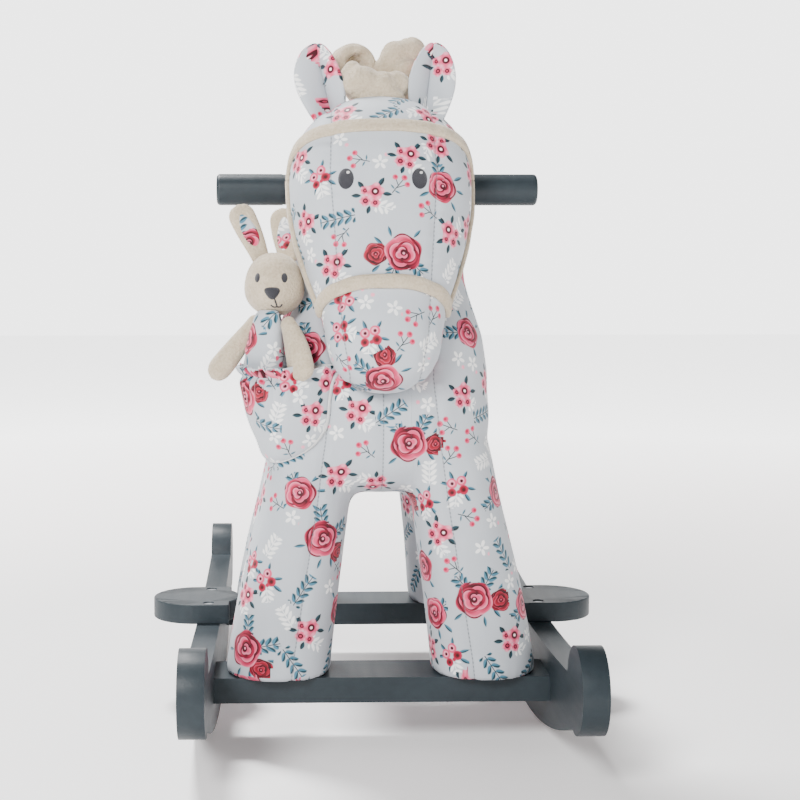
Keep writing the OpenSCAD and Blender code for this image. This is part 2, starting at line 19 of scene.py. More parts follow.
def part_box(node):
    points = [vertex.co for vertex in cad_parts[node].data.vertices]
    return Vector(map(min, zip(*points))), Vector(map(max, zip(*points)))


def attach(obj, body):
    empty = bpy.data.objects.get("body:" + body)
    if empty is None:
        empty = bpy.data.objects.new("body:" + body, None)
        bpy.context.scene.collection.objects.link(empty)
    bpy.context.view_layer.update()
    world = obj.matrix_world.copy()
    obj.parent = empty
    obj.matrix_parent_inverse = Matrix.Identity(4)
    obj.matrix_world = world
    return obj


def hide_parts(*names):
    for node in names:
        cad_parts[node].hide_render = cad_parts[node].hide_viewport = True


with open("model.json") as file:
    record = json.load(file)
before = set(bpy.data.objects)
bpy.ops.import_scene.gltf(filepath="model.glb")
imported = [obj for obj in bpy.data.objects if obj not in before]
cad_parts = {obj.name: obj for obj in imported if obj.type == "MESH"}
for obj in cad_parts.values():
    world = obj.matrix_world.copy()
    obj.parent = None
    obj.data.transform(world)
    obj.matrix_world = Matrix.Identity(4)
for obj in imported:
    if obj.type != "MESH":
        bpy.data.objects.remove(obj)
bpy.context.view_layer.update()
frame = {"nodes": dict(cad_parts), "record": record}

MM = 0.001
nodes = frame["nodes"]
scene = bpy.context.scene

# ---- Camera, at the photograph's angle ----

camera = bpy.data.objects.new("camera", bpy.data.cameras.new("camera"))
scene.collection.objects.link(camera)
camera.location = (-0.0749, -1.4108, 0.4013)
camera.rotation_euler = (math.radians(84.58), 0, math.radians(-1.64))
camera.data.sensor_width = 36
camera.data.lens = 72.02
camera.data.shift_x = 0.0828
camera.data.clip_start = 0.05
scene.camera = camera


# ---- Shader arithmetic ----


def ink(red, green, blue):
    """A linear colour from sRGB values of 0 to 255."""
    linear = [
        (c / 255 / 12.92 if c / 255 <= 0.04045 else ((c / 255 + 0.055) / 1.055) ** 2.4)
        for c in (red, green, blue)
    ]
    return (*linear, 1.0)


class Value:
    """A number in a node tree, so that shapes can be written as arithmetic."""

    def __init__(self, tree, socket):
        self.tree = tree
        self.socket = socket

    def _math(self, kind, *others, clamp=False):
        node = self.tree.nodes.new("ShaderNodeMath")
        node.operation = kind
        node.use_clamp = clamp
        for place, item in enumerate((self, *others)):
            if isinstance(item, Value):
                self.tree.links.new(item.socket, node.inputs[place])
            else:
                node.inputs[place].default_value = item
        return Value(self.tree, node.outputs[0])

    def __add__(self, other):
        return self._math("ADD", other)

    def __sub__(self, other):
        return self._math("SUBTRACT", other)

    def __rsub__(self, other):
        return self * -1.0 + other

    def __mul__(self, other):
        return self._math("MULTIPLY", other)

    def __truediv__(self, other):
        return self._math("DIVIDE", other)

    def power(self, other):
        return self._math("POWER", other)

    def most(self, other):
        return self._math("MAXIMUM", other)

    def size(self):
        return self._math("ABSOLUTE")

    def sine(self):
        return self._math("SINE")

    def cosine(self):
        return self._math("COSINE")

    def part(self):
        return self._math("FRACT")

    def angle_from(self, other):
        return self._math("ARCTAN2", other)

    def length_with(self, other):
        return (self * self + other * other)._math("SQRT")

    def inside(self, soft=0.35):
        """1 where the value is above 0, and 0 below, over a soft edge."""
        return self._math("MULTIPLY_ADD", 1 / (2 * soft), 0.5, clamp=True)


class Paint:
    """A material under construction."""

    def __init__(self, name, rough, specular=0.3, sheen=0.0, metallic=0.0):
        self.material = bpy.data.materials.new(name)
        self.material.use_nodes = True
        self.tree = self.material.node_tree
        self.shader = self.tree.nodes["Principled BSDF"]
        self.shader.inputs["Roughness"].default_value = rough
        self.shader.inputs["Specular IOR Level"].default_value = specular
        self.shader.inputs["Sheen Weight"].default_value = sheen
        self.shader.inputs["Sheen Roughness"].default_value = 0.5
        self.shader.inputs["Metallic"].default_value = metallic
        self.place = self.tree.nodes.new("ShaderNodeTexCoord").outputs["Object"]

    def attribute(self, name, part="Fac"):
        node = self.tree.nodes.new("ShaderNodeAttribute")
        node.attribute_name = name
        return node.outputs[part]

    def split(self, socket):
        node = self.tree.nodes.new("ShaderNodeSeparateXYZ")
        self.tree.links.new(socket, node.inputs[0])
        return [Value(self.tree, out) for out in node.outputs]

    def stretched(self, x, y, z):
        node = self.tree.nodes.new("ShaderNodeMapping")
        node.inputs["Scale"].default_value = (x, y, z)
        self.tree.links.new(self.place, node.inputs["Vector"])
        return node.outputs[0]

    def noise(self, scale, detail=2.0, where=None):
        node = self.tree.nodes.new("ShaderNodeTexNoise")
        node.inputs["Scale"].default_value = scale
        node.inputs["Detail"].default_value = detail
        self.tree.links.new(where or self.place, node.inputs["Vector"])
        return Value(self.tree, node.outputs["Fac"])

    def mix(self, share, low, high):
        node = self.tree.nodes.new("ShaderNodeMix")
        node.data_type = "RGBA"
        self.tree.links.new(share.socket, node.inputs[0])
        for place, colour in ((6, low), (7, high)):
            if isinstance(colour, tuple):
                node.inputs[place].default_value = colour
            else:
                self.tree.links.new(colour, node.inputs[place])
        return node.outputs[2]

    def colour(self, socket):
        self.tree.links.new(socket, self.shader.inputs["Base Color"])

    def roughness(self, value):
        self.tree.links.new(value.socket, self.shader.inputs["Roughness"])

    def bump(self, height, depth):
        """Bumps of this depth in metres, where height goes from 0 to 1."""
        node = self.tree.nodes.new("ShaderNodeBump")
        node.inputs["Distance"].default_value = depth
        node.inputs["Strength"].default_value = 1.0
        self.tree.links.new(height.socket, node.inputs["Height"])
        self.tree.links.new(node.outputs[0], self.shader.inputs["Normal"])


# ---- The floral print ----

PINK = ink(212, 72, 108)
PALE_PINK = ink(236, 150, 170)
DEEP_PINK = ink(170, 22, 60)
WINE = ink(58, 1, 14)
RED = ink(122, 5, 28)
TEAL = ink(22, 56, 66)
BLUE = ink(66, 116, 138)
DARK_TEAL = ink(12, 32, 38)
WHITE = ink(240, 240, 238)

LEAF_TONES = (TEAL, BLUE, DARK_TEAL)
WHITE_TONES = (WHITE, WHITE, WHITE)
ROSE_TONES = (PINK, DEEP_PINK, WINE, PALE_PINK)
RED_TONES = (ink(156, 12, 42), RED, ink(42, 1, 10), ink(208, 78, 104))
# A rose's rings of petals: how far out, how many petals, its turn, and how thick its line is
ROSE_RINGS = (
    (0.93, 5, 0.0, 0.055), (0.72, 4, 1.3, 0.07), (0.52, 3, 2.9, 0.07), (0.33, 3, 0.7, 0.06),
)
STEM = 0.35  # half a stem's width, in millimetres


class Print:
    """The print's drawing: strokes laid over a base, at places u and v in millimetres."""

    def __init__(self, paint, base, u, v):
        self.mix = paint.mix
        self.base, self.u, self.v = base, u, v

    def lay(self, share, colour):
        self.base = self.mix(share, self.base, colour)

    def disc_at(self, x, y, radius):
        return (radius - (self.u - x).length_with(self.v - y)).inside()

    def disc(self, x, y, radius, colour):
        self.lay(self.disc_at(x, y, radius), colour)

    def turned(self, x, y, degrees):
        """Coordinates along and across a line that starts at (x, y)."""
        c, s = math.cos(math.radians(degrees)), math.sin(math.radians(degrees))
        du, dv = self.u - x, self.v - y
        return du * c + dv * s, dv * c - du * s

    def leaves(self, rows, colours=(TEAL, BLUE)):
        """Each row is (x, y, degrees, length, width)."""
        for x, y, degrees, length, width in rows:
            along, across = self.turned(x, y, degrees)
            t = along / length
            blade = (t * (1 - t) * (2 * width) - across.size()).inside(0.3)
            self.lay(blade, self.mix((across * 2.0).inside(0.8), *colours))

    def branch(self, start, degrees, length, colours, leaf_width=1.5, pitch=5.0):
        """A stem with pairs of leaves that point forwards."""
        along, across = self.turned(*start, degrees)
        side = across.size()
        within = (along * (length - along)).inside(1.0)
        cell = ((along - side * 0.75) / pitch).part()
        reach = side * (6.2 - side) * (leaf_width / 9.6)
        blade = (reach - (cell - 0.5).size() * pitch * 0.62).inside(0.3) * within
        self.lay(blade, self.mix(((cell - 0.52) * 30.0).inside(1.0), colours[1], colours[0]))
        self.lay((STEM - side).inside(0.25) * within, colours[2])

    def rose(self, x, y, radius, colours, phase=0.0):
        """A full rose: wavy outline, petals with dark and pale rims, and a dark heart."""
        light, mid, dark, pale = colours
        du, dv = (self.u - x) / radius, (self.v - y) / radius
        distance = du.length_with(dv)
        wave = ((dv.angle_from(du) + phase) * 5.0).sine()
        body = ((0.95 - (distance + wave * 0.05)) * radius).inside()
        tone = self.mix((wave * 0.5 + distance - 0.5).inside(0.8), light, mid)
        for ring, petals, shift, thick in ROSE_RINGS:
            turn = shift + phase
            out_u, out_v = du - 0.1 * math.cos(turn), dv - 0.1 * math.sin(turn)
            around = out_v.angle_from(out_u) + turn
            scallop = (around * (petals / 2)).sine().size()
            edge = out_u.length_with(out_v) - scallop * 0.13 + 0.08
            inner = ((ring - edge) * radius).inside(0.3)
            tone = self.mix(inner * 0.85, tone, light)
            rim = (1.0 - (ring - edge).most(0.0) * 6.0).most(0.0)
            tone = self.mix(inner * rim * 0.8, tone, pale)
            crescent = (around * 0.5).sine().power(2.0) * 0.9 + 0.1
            line = crescent * (thick * 1.6) - (edge - ring).size()
            tone = self.mix((line * radius).inside(0.22), tone, dark)
            under_edge = 0.055 - (edge - ring - 0.06).size()
            tone = self.mix((under_edge * radius).inside(0.6) * scallop * 0.8, tone, mid)
        tone = self.mix(((0.17 - distance) * radius).inside(0.3), tone, dark)
        tone = self.mix(self.disc_at(x, y + 0.04 * radius, radius * 0.06), tone, pale)
        self.lay(body, tone)

    def bloom(self, x, y, radius, phase=0.0):
        """A small open flower with a wine ring, and a white eye if it is a big one."""
        du, dv = self.u - x, self.v - y
        distance = du.length_with(dv) / radius
        petals = ((dv.angle_from(du) + phase) * 5.0).cosine()
        body = ((petals * 0.1 + 0.92 - distance) * radius).inside()
        tone = self.mix(petals.inside(1.2), PINK, PALE_PINK)
        tone = self.mix(((0.62 - distance) * radius).inside(0.8), tone, PINK)
        ring = 0.12 - (distance - 0.3).size()
        tone = self.mix((ring * radius).inside(0.25), tone, WINE)
        eye = WHITE if radius > 6 else DEEP_PINK
        tone = self.mix(((0.15 - distance) * radius).inside(0.25), tone, eye)
        self.lay(body, tone)


def draw_rose_pair(on):
    on.branch((-6, 9), 132, 17, LEAF_TONES)
    on.branch((7, 9), 60, 17, LEAF_TONES)
    on.leaves([(15, -7, -50, 10, 2.8), (19, 8, 35, 10, 2.8), (-9, -11, 222, 9, 2.6),
               (8, -13, 280, 9, 2.6)])
    on.rose(21.5, -1, 9.4, RED_TONES, 0.8)
    on.rose(0, 0, 15.2, ROSE_TONES)


def draw_rose(on):
    on.branch((-4, 8), 112, 16, LEAF_TONES)
    on.leaves([(9, 9, 40, 11, 3), (13, 2, 5, 9, 2.8), (-10, -8, 222, 10, 2.8),
               (10, -9, -42, 9, 2.6)])
    on.rose(0, 0, 13.4, ROSE_TONES, 2.1)


def draw_cluster(on):
    on.branch((2, -8), -28, 15, WHITE_TONES, 1.1, 5.0)
    on.leaves([(-5, 6, 118, 8, 3.8), (-8, 1, 168, 8, 3.4), (6, 6, 48, 9, 3.8), (8, 0, -14, 8, 3.4),
               (-3, -8, 245, 7, 3.4)], (DARK_TEAL, TEAL))
    on.bloom(-5.6, -3.6, 4.8, 0.7)
    on.bloom(1.6, -6.4, 4.2, 1.4)
    on.bloom(-4.5, 4.6, 4.0, 0.2)
    on.bloom(3.2, 2.6, 7.2)


def draw_trio(on):
    for x, y, degrees, length in ((7, -6, 140, 16), (3, -3, 108, 9), (1, -1, 196, 7)):
        along, across = on.turned(x, y, degrees)
        within = (along * (length - along)).inside(1.0)
        on.lay((STEM - across.size()).inside(0.2) * within, DARK_TEAL)
    on.leaves([(5, -4, 60, 5, 1.4), (4, -4, 215, 5, 1.4)])
    for x, y, radius in ((-5.4, 4.2, 2.4), (0.2, 6.2, 2.2), (-6, -3, 2.2)):
        on.disc(x, y, radius, PINK)
        on.disc(x - 0.4, y + 0.3, radius * 0.5, DEEP_PINK)


def draw_sprig(on):
    on.branch((-13, -8), 34, 28, LEAF_TONES, 1.5, 6.0)


def draw_white_sprig(on):
    on.branch((-9, -6), 30, 19, WHITE_TONES, 1.15, 4.6)


def draw_white_bloom(on):
    distance = on.u.length_with(on.v)
    petals = ((on.v.angle_from(on.u) * 2.5).cosine().size() * 6.4 - distance).inside()
    on.lay(petals * (distance - 1.2).inside(0.3), WHITE)
    on.disc(6.5, -5, 1.6, PALE_PINK)


def draw_posy(on):
    on.leaves([(-3, 4, 112, 10, 3.0), (-6, 2, 165, 9, 2.8), (5, -4, -56, 10, 3.0),
               (6, 0, -12, 9, 2.6), (4, 6, 62, 8, 2.6), (-4, -5, 232, 8, 2.6)])
    on.branch((-1, -5), 262, 12, WHITE_TONES, 1.1, 4.6)
    for x, y, radius, outer, inner in (
        (-4.5, 3, 4.0, PINK, PALE_PINK), (3, 5.2, 4.0, PINK, PALE_PINK),
        (-4.6, -4, 3.4, DEEP_PINK, RED), (4.6, -1.8, 3.8, DEEP_PINK, RED),
    ):
        on.disc(x, y, radius, outer)
        on.disc(x - 0.3, y + 0.3, radius * 0.62, inner)
        on.disc(x, y, radius * 0.34, WINE)
    on.disc(0.5, -3.5, 1.6, DEEP_PINK)


# Name: (how to draw it, its radius in millimetres, how often it comes up in the fill)
MOTIFS = {
    "rose_pair": (draw_rose_pair, 27, 1),
    "rose": (draw_rose, 19, 2),
    "cluster": (draw_cluster, 15, 4),
    "posy": (draw_posy, 12, 4),
    "trio": (draw_trio, 10, 4),
    "sprig": (draw_sprig, 15, 3),
    "white_sprig": (draw_white_sprig, 12, 4),
    "white_bloom": (draw_white_bloom, 8, 4),
}
KINDS = list(MOTIFS)


def cloth_material(kind):
    """Smooth brushed cotton with one motif of the print on it."""
    p = Paint("floral_" + kind, rough=0.62, specular=0.28, sheen=0.12)
    u, v, _ = p.split(p.attribute("print_at", "Vector"))
    drawn = Print(p, p.mix(p.noise(34.0), ink(175, 180, 186), ink(185, 190, 196)), u, v)
    MOTIFS[kind][0](drawn)
    seam = Value(p.tree, p.attribute("seam"))
    line = (0.5 - seam.size()).inside(0.3)
    stitch = (p.split(p.place)[2] * 1900.0).sine().inside(0.7) * 0.55 + 0.35
    p.colour(p.mix(line * stitch * 0.8, drawn.base, ink(92, 96, 102)))
    weave = p.noise(1500.0, 1.0)
    creases = p.noise(60.0, 3.0, p.stretched(1.0, 1.0, 0.45))
    p.bump(weave * 0.12 + creases * 0.88 - line * 0.25, 0.0011)
    return p.material


def fleece_material(name, low, high):
    """Short pile plush: soft mottled colour and a fine tufted bump."""
    p = Paint(name, rough=0.95, specular=0.08, sheen=0.35)
    tufts = p.noise(520.0, 3.0) * 0.6 + p.noise(95.0, 2.0) * 0.4
    p.colour(p.mix((tufts - 0.5).inside(0.22), low, high))
    p.bump(tufts, 0.0016)
    return p.material


def paint_material():
    """Satin paint over close-grained wood, rubbed a little in scattered patches."""
    p = Paint("painted_wood", rough=0.45, specular=0.28)
    grain = p.noise(30.0, 4.0, p.stretched(6.0, 0.5, 6.0))
    wear = p.noise(11.0, 4.0)
    tone = p.mix(grain, ink(33, 41, 46), ink(41, 50, 55))
    p.colour(p.mix((wear - 0.62).inside(0.12) * 0.35, tone, ink(66, 76, 82)))
    p.roughness(grain * 0.1 + wear * 0.14 + 0.36)
    p.bump(grain * 0.6 + p.noise(700.0, 1.0) * 0.4, 0.00022)
    return p.material


def bare_wood_material():
    p = Paint("bare_wood", rough=0.6)
    rings = p.noise(24.0, 5.0, p.stretched(7.0, 7.0, 0.7))
    p.colour(p.mix(rings, ink(196, 158, 108), ink(226, 196, 148)))
    p.bump(rings, 0.0003)
    return p.material


def steel_material():
    p = Paint("steel", rough=0.35, metallic=1.0)
    brushed = p.noise(420.0, 3.0, p.stretched(1.0, 1.0, 12.0))
    p.colour(p.mix(brushed, ink(150, 153, 158), ink(196, 199, 203)))
    p.roughness(brushed * 0.25 + 0.22)
    p.bump(brushed, 0.00005)
    return p.material


def thread_material(name, low, high):
    """Satin stitch: close parallel threads."""
    p = Paint(name, rough=0.5, specular=0.4, sheen=0.1)
    x, _, z = p.split(p.place)
    threads = ((x * 0.5 + z) * 7800.0).sine() * 0.5 + 0.5
    p.colour(p.mix(threads * 0.7 + p.noise(260.0) * 0.3, low, high))
    p.bump(threads, 0.00035)
    return p.material


CLOTHS = [cloth_material(kind) for kind in KINDS]
PLUSH = fleece_material("plush", ink(168, 152, 129), ink(199, 185, 162))
PAINT = paint_material()
WOOD = bare_wood_material()
STEEL = steel_material()
CHARCOAL = thread_material("charcoal_thread", ink(26, 26, 32), ink(58, 58, 66))
PALE_THREAD = thread_material("pale_thread", ink(214, 212, 208), ink(240, 240, 238))
PIPING = thread_material("piping", ink(222, 222, 222), ink(244, 244, 243))


# ---- Mesh helpers ----


def linked(name, mesh):
    made = bpy.data.objects.new(name, mesh)
    scene.collection.objects.link(made)
    return made


def add_mesh(name, points, faces, smooth=True):
    mesh = bpy.data.meshes.new(name)
    mesh.from_pydata([tuple(p) for p in points], [], faces)
    mesh.update()
    if smooth:
        mesh.shade_smooth()
    return linked(name, mesh)


def from_bmesh(name, whole):
    """A new piece of this mesh in memory, which it frees."""
    mesh = bpy.data.meshes.new(name)
    whole.to_mesh(mesh)
    whole.free()
    return linked(name, mesh)


def read(items, field, width=3, kind=float):
    """One field of every vertex, face or corner, as rows of this width."""
    flat = np.zeros(len(items) * width, kind)
    items.foreach_get(field, flat)
    return flat.reshape(-1, width) if width > 1 else flat


def points_of(piece):
    return read(piece.data.vertices, "co")


def normals_of(piece):
    return read(piece.data.vertex_normals, "vector")


def set_points(piece, points):
    piece.data.vertices.foreach_set("co", points.astype(np.float32).ravel())
    piece.data.update()


def pushed(piece, distance):
    """Moves every point of the piece out along its normal."""
    set_points(piece, points_of(piece) + normals_of(piece) * distance)


def settle(piece):
    """Applies every modifier of the piece."""
    bpy.context.view_layer.update()
    graph = bpy.context.evaluated_depsgraph_get()
    mesh = bpy.data.meshes.new_from_object(piece.evaluated_get(graph))
    piece.modifiers.clear()
    piece.data = mesh
    mesh.shade_smooth()
    return piece


def modified(piece, kind, **settings):
    modifier = piece.modifiers.new(kind.lower(), kind)
    for name, value in settings.items():
        setattr(modifier, name, value)
    return settle(piece)


def finer(piece, levels=1):
    return modified(piece, "SUBSURF", levels=levels, render_levels=levels)


def smoothed(piece, rounds):
    return modified(piece, "SMOOTH", iterations=rounds, factor=0.5)


def remeshed(piece, voxel):
    return modified(piece, "REMESH", mode="VOXEL", voxel_size=voxel)


def largest_island(piece):
    """Deletes all but the tallest island."""
    mesh = bmesh.new()
    mesh.from_mesh(piece.data)
    seen, best, best_size = set(), [], -1.0
    for first in mesh.verts:
        if first in seen:
            continue
        island, stack = [], [first]
        seen.add(first)
        while stack:
            vertex = stack.pop()
            island.append(vertex)
            for edge in vertex.link_edges:
                other = edge.other_vert(vertex)
                if other not in seen:
                    seen.add(other)
                    stack.append(other)
        span = max(v.co.z for v in island) - min(v.co.z for v in island)
        if span > best_size:
            best, best_size = island, span
    keep = set(best)
    bmesh.ops.delete(mesh, geom=[v for v in mesh.verts if v not in keep], context="VERTS")
    mesh.to_mesh(piece.data)
    mesh.free()


def merged_form(name, solids, inner, voxel, plugs=()):
    """One closed skin round copies of CAD solids, with the hollows for inner parts filled."""
    whole = bmesh.new()
    for node, grow in [(n, 0.0) for n in solids] + [(n, 0.9 * MM) for n in inner]:
        one = bmesh.new()
        one.from_mesh(nodes[node].data)
        bmesh.ops.remove_doubles(one, verts=one.verts, dist=1e-6)
        one.normal_update()
        moved = [v.co + v.normal * grow for v in one.verts]
        for vertex, place in zip(one.verts, moved):
            vertex.co = place
        spare = bpy.data.meshes.new("spare")
        one.to_mesh(spare)
        one.free()
        whole.from_mesh(spare)
        bpy.data.meshes.remove(spare)
    for radius, start, end in plugs:
        way = Vector(end) - Vector(start)
        turn = way.to_track_quat("Z", "Y").to_matrix().to_4x4()
        turn.translation = (Vector(start) + Vector(end)) / 2
        bmesh.ops.create_cone(
            whole, cap_ends=True, segments=24, radius1=radius, radius2=radius,
            depth=way.length, matrix=turn,
        )
    made = from_bmesh(name, whole)
    remeshed(made, voxel)
    largest_island(made)
    return made


def puffed(piece, pinned, cap, pressure=4.0):
    """Blows the cloth up between its pinned seams, by no more than cap."""
    before = points_of(piece)
    group = piece.vertex_groups.new(name="seams")
    for weight in sorted(set(np.round(pinned, 1))):
        if weight > 0:
            chosen = np.nonzero(np.round(pinned, 1) == weight)[0]
            group.add([int(i) for i in chosen], float(weight), "REPLACE")
    cloth = piece.modifiers.new("cloth", "CLOTH")
    cloth.settings.quality = 5
    cloth.settings.mass = 0.2
    cloth.settings.tension_stiffness = 15
    cloth.settings.compression_stiffness = 15
    cloth.settings.shear_stiffness = 5
    cloth.settings.bending_stiffness = 0.4
    cloth.settings.use_pressure = True
    cloth.settings.uniform_pressure_force = pressure
    cloth.settings.effector_weights.gravity = 0
    cloth.settings.vertex_group_mass = "seams"
    for step in range(1, 21):
        scene.frame_set(step)
    bpy.context.view_layer.update()
    graph = bpy.context.evaluated_depsgraph_get()
    after = np.array([v.co[:] for v in piece.evaluated_get(graph).data.vertices])
    piece.modifiers.clear()
    piece.vertex_groups.clear()
    scene.frame_set(1)
    move = after - before
    length = np.linalg.norm(move, axis=1, keepdims=True)
    set_points(piece, before + move * np.minimum(1, cap / np.maximum(length, 1e-9)))


def give(piece, *materials):
    piece.data.materials.clear()
    for material in materials:
        piece.data.materials.append(material)


def surface(piece):
    """A tree of the piece's surface, for finding places on it."""
    graph = bpy.context.evaluated_depsgraph_get()
    return BVHTree.FromObject(piece, graph)


def smooth_path(points, step):
    """A curve through the points, as points about step apart."""
    pts = [Vector(p) for p in points]
    ends = [pts[0] * 2 - pts[1]] + pts + [pts[-1] * 2 - pts[-2]]
    line = []
    for i in range(1, len(ends) - 2):
        a, b, c, d = ends[i - 1 : i + 3]
        count = max(2, int((c - b).length / step))
        for k in range(count):
            t = k / count
            line.append(
                0.5 * ((b * 2) + (c - a) * t + (a * 2 - b * 5 + c * 4 - d) * t**2
                       + (b * 3 - a - c * 3 + d) * t**3)
            )
    line.append(pts[-1])
    return line


def relaxed(line):
    """The line with each inner point drawn towards its neighbours."""
    inner = [(a + b * 2 + c) / 4 for a, b, c in zip(line, line[1:], line[2:])]
    return [line[0], *inner, line[-1]]


def spun(u, v, angle):
    c, s = math.cos(angle), math.sin(angle)
    return u * c - v * s, v * c + u * s


def grid_faces(rows, columns, flip=False):
    """Faces of a sheet whose points come row by row, each with columns + 1 of them."""
    faces = []
    for i in range(rows):
        for k in range(i * (columns + 1), i * (columns + 1) + columns):
            face = (k, k + columns + 1, k + columns + 2, k + 1)
            faces.append((face[0], *face[:0:-1]) if flip else face)
    return faces


def tube(name, points, around):
    """A closed tube through rings that have this many points each."""
    last = len(points) - around
    faces = [
        (a + k, a + (k + 1) % around, a + around + (k + 1) % around, a + around + k)
        for a in range(0, last, around)
        for k in range(around)
    ]
    faces.append(tuple(range(around - 1, -1, -1)))
    faces.append(tuple(range(last, last + around)))
    return outward(add_mesh(name, points, faces))


def swept(name, line, ups, width, height, sink, around=16, taper=0.0, wobble=0.0, seed=0):
    """A soft band or roll along a line. ups point away from what it lies on."""
    dice = random.Random(seed)
    points = []
    last = len(line) - 1
    phases = [dice.uniform(0, 6.3) for _ in range(4)]
    for i, at in enumerate(line):
        way = (line[min(i + 1, last)] - line[max(i - 1, 0)]).normalized()
        up = (ups[i] - way * ups[i].dot(way)).normalized()
        side = way.cross(up)
        end = min(i, last - i) / max(1, last)
        thin = min(1.0, (end / taper) ** 0.5) if taper > 0 and end < taper else 1.0
        thin = max(thin, 0.12)
        for k in range(around):
            a = 2 * math.pi * k / around
            swell = 1 + wobble * (
                math.sin(2 * a + i * 0.31 + phases[0]) + math.sin(3 * a - i * 0.47 + phases[1])
                + 0.8 * math.sin(i * 0.63 + phases[2])
            )
            u = math.copysign(abs(math.cos(a)) ** 0.8, math.cos(a)) * width / 2 * thin * swell
            w = math.copysign(abs(math.sin(a)) ** 0.8, math.sin(a)) * height / 2 * thin * swell
            points.append(at + side * u + up * (w + height / 2 - sink))
    return tube(name, points, around)


def outward(piece, facing=None):
    """Turns the faces of a closed piece outwards, or those of an open one to face this way."""
    mesh = bmesh.new()
    mesh.from_mesh(piece.data)
    bmesh.ops.recalc_face_normals(mesh, faces=mesh.faces)
    if facing is not None and sum(f.normal.dot(facing) for f in mesh.faces) < 0:
        bmesh.ops.reverse_faces(mesh, faces=mesh.faces)
    mesh.to_mesh(piece.data)
    mesh.free()
    return piece


def joined(name, pieces):
    """One piece made of all of these."""
    whole = bmesh.new()
    for piece in pieces:
        whole.from_mesh(piece.data)
    for piece in pieces:
        bpy.data.objects.remove(piece)
    made = from_bmesh(name, whole)
    made.data.shade_smooth()
    return made


def dress(piece, *replaced, slot="floral_cloth", body_name="root"):
    """Puts the piece in for CAD parts and on a body; slot is not used."""
    for node in replaced:
        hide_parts(node)
    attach(piece, body_name)


def finish_plush(piece, *replaced, fill, body_name="root"):
    give(piece, PLUSH)
    dress(piece, *replaced, slot="fleece", body_name=body_name)


# ---- Placing the print ----


def axes_at(normal, degrees):
    """The directions of a motif's u and v on a surface, as seen from outside."""
    n = Vector(normal).normalized()
    across = Vector((0, 0, 1)).cross(n)
    if across.length < 0.2:
        across = Vector((1, 0, 0))
    across = (across - n * across.dot(n)).normalized()
    up = n.cross(across)
    c, s = math.cos(math.radians(degrees)), math.sin(math.radians(degrees))
    return across * c + up * s, up * c - across * s


BIG_MOTIF = 13  # radius in millimetres above which the fill counts a motif as big
TRIES_PER_M2 = 0.12 / 4e-6
FILL_TURNS = (0, 20, -25, 160, 180, 205, 90, -90)
NO_SEAM = 99.0  # millimetres, further than any line of stitching reaches


def seeded_fill(placed, centres, normals, areas, dice, spacing, kinds):
    """Adds motifs where none of those placed is near, and only big ones in the first tries."""
    running = np.cumsum(areas)
    bag = [k for k in kinds for _ in range(MOTIFS[k][2])]
    big = [k for k in bag if MOTIFS[k][1] > BIG_MOTIF]
    spots = np.array([p[1] for p in placed]).reshape(-1, 3)
    facing = np.array([p[2] for p in placed]).reshape(-1, 3)
    radii = np.array([MOTIFS[p[0]][1] * MM for p in placed])
    tries = int(running[-1] * TRIES_PER_M2) + 200
    for attempt in range(tries):
        face = min(len(areas) - 1, int(np.searchsorted(running, dice.random() * running[-1])))
        kind = dice.choice((big if attempt < tries * 0.3 else bag) or bag)
        radius = MOTIFS[kind][1] * MM
        degrees = dice.choice(FILL_TURNS)
        if len(spots):
            apart = np.linalg.norm(spots - centres[face], axis=1)
            apart = apart + np.where(facing @ normals[face] < 0.1, 0.05, 0.0)
            if (apart < (radii + radius) * spacing).any():
                continue
        placed.append((kind, Vector(centres[face]), Vector(normals[face]), degrees))
        spots = np.vstack([spots, centres[face]])
        radii = np.append(radii, radius)
        facing = np.vstack([facing, normals[face]])


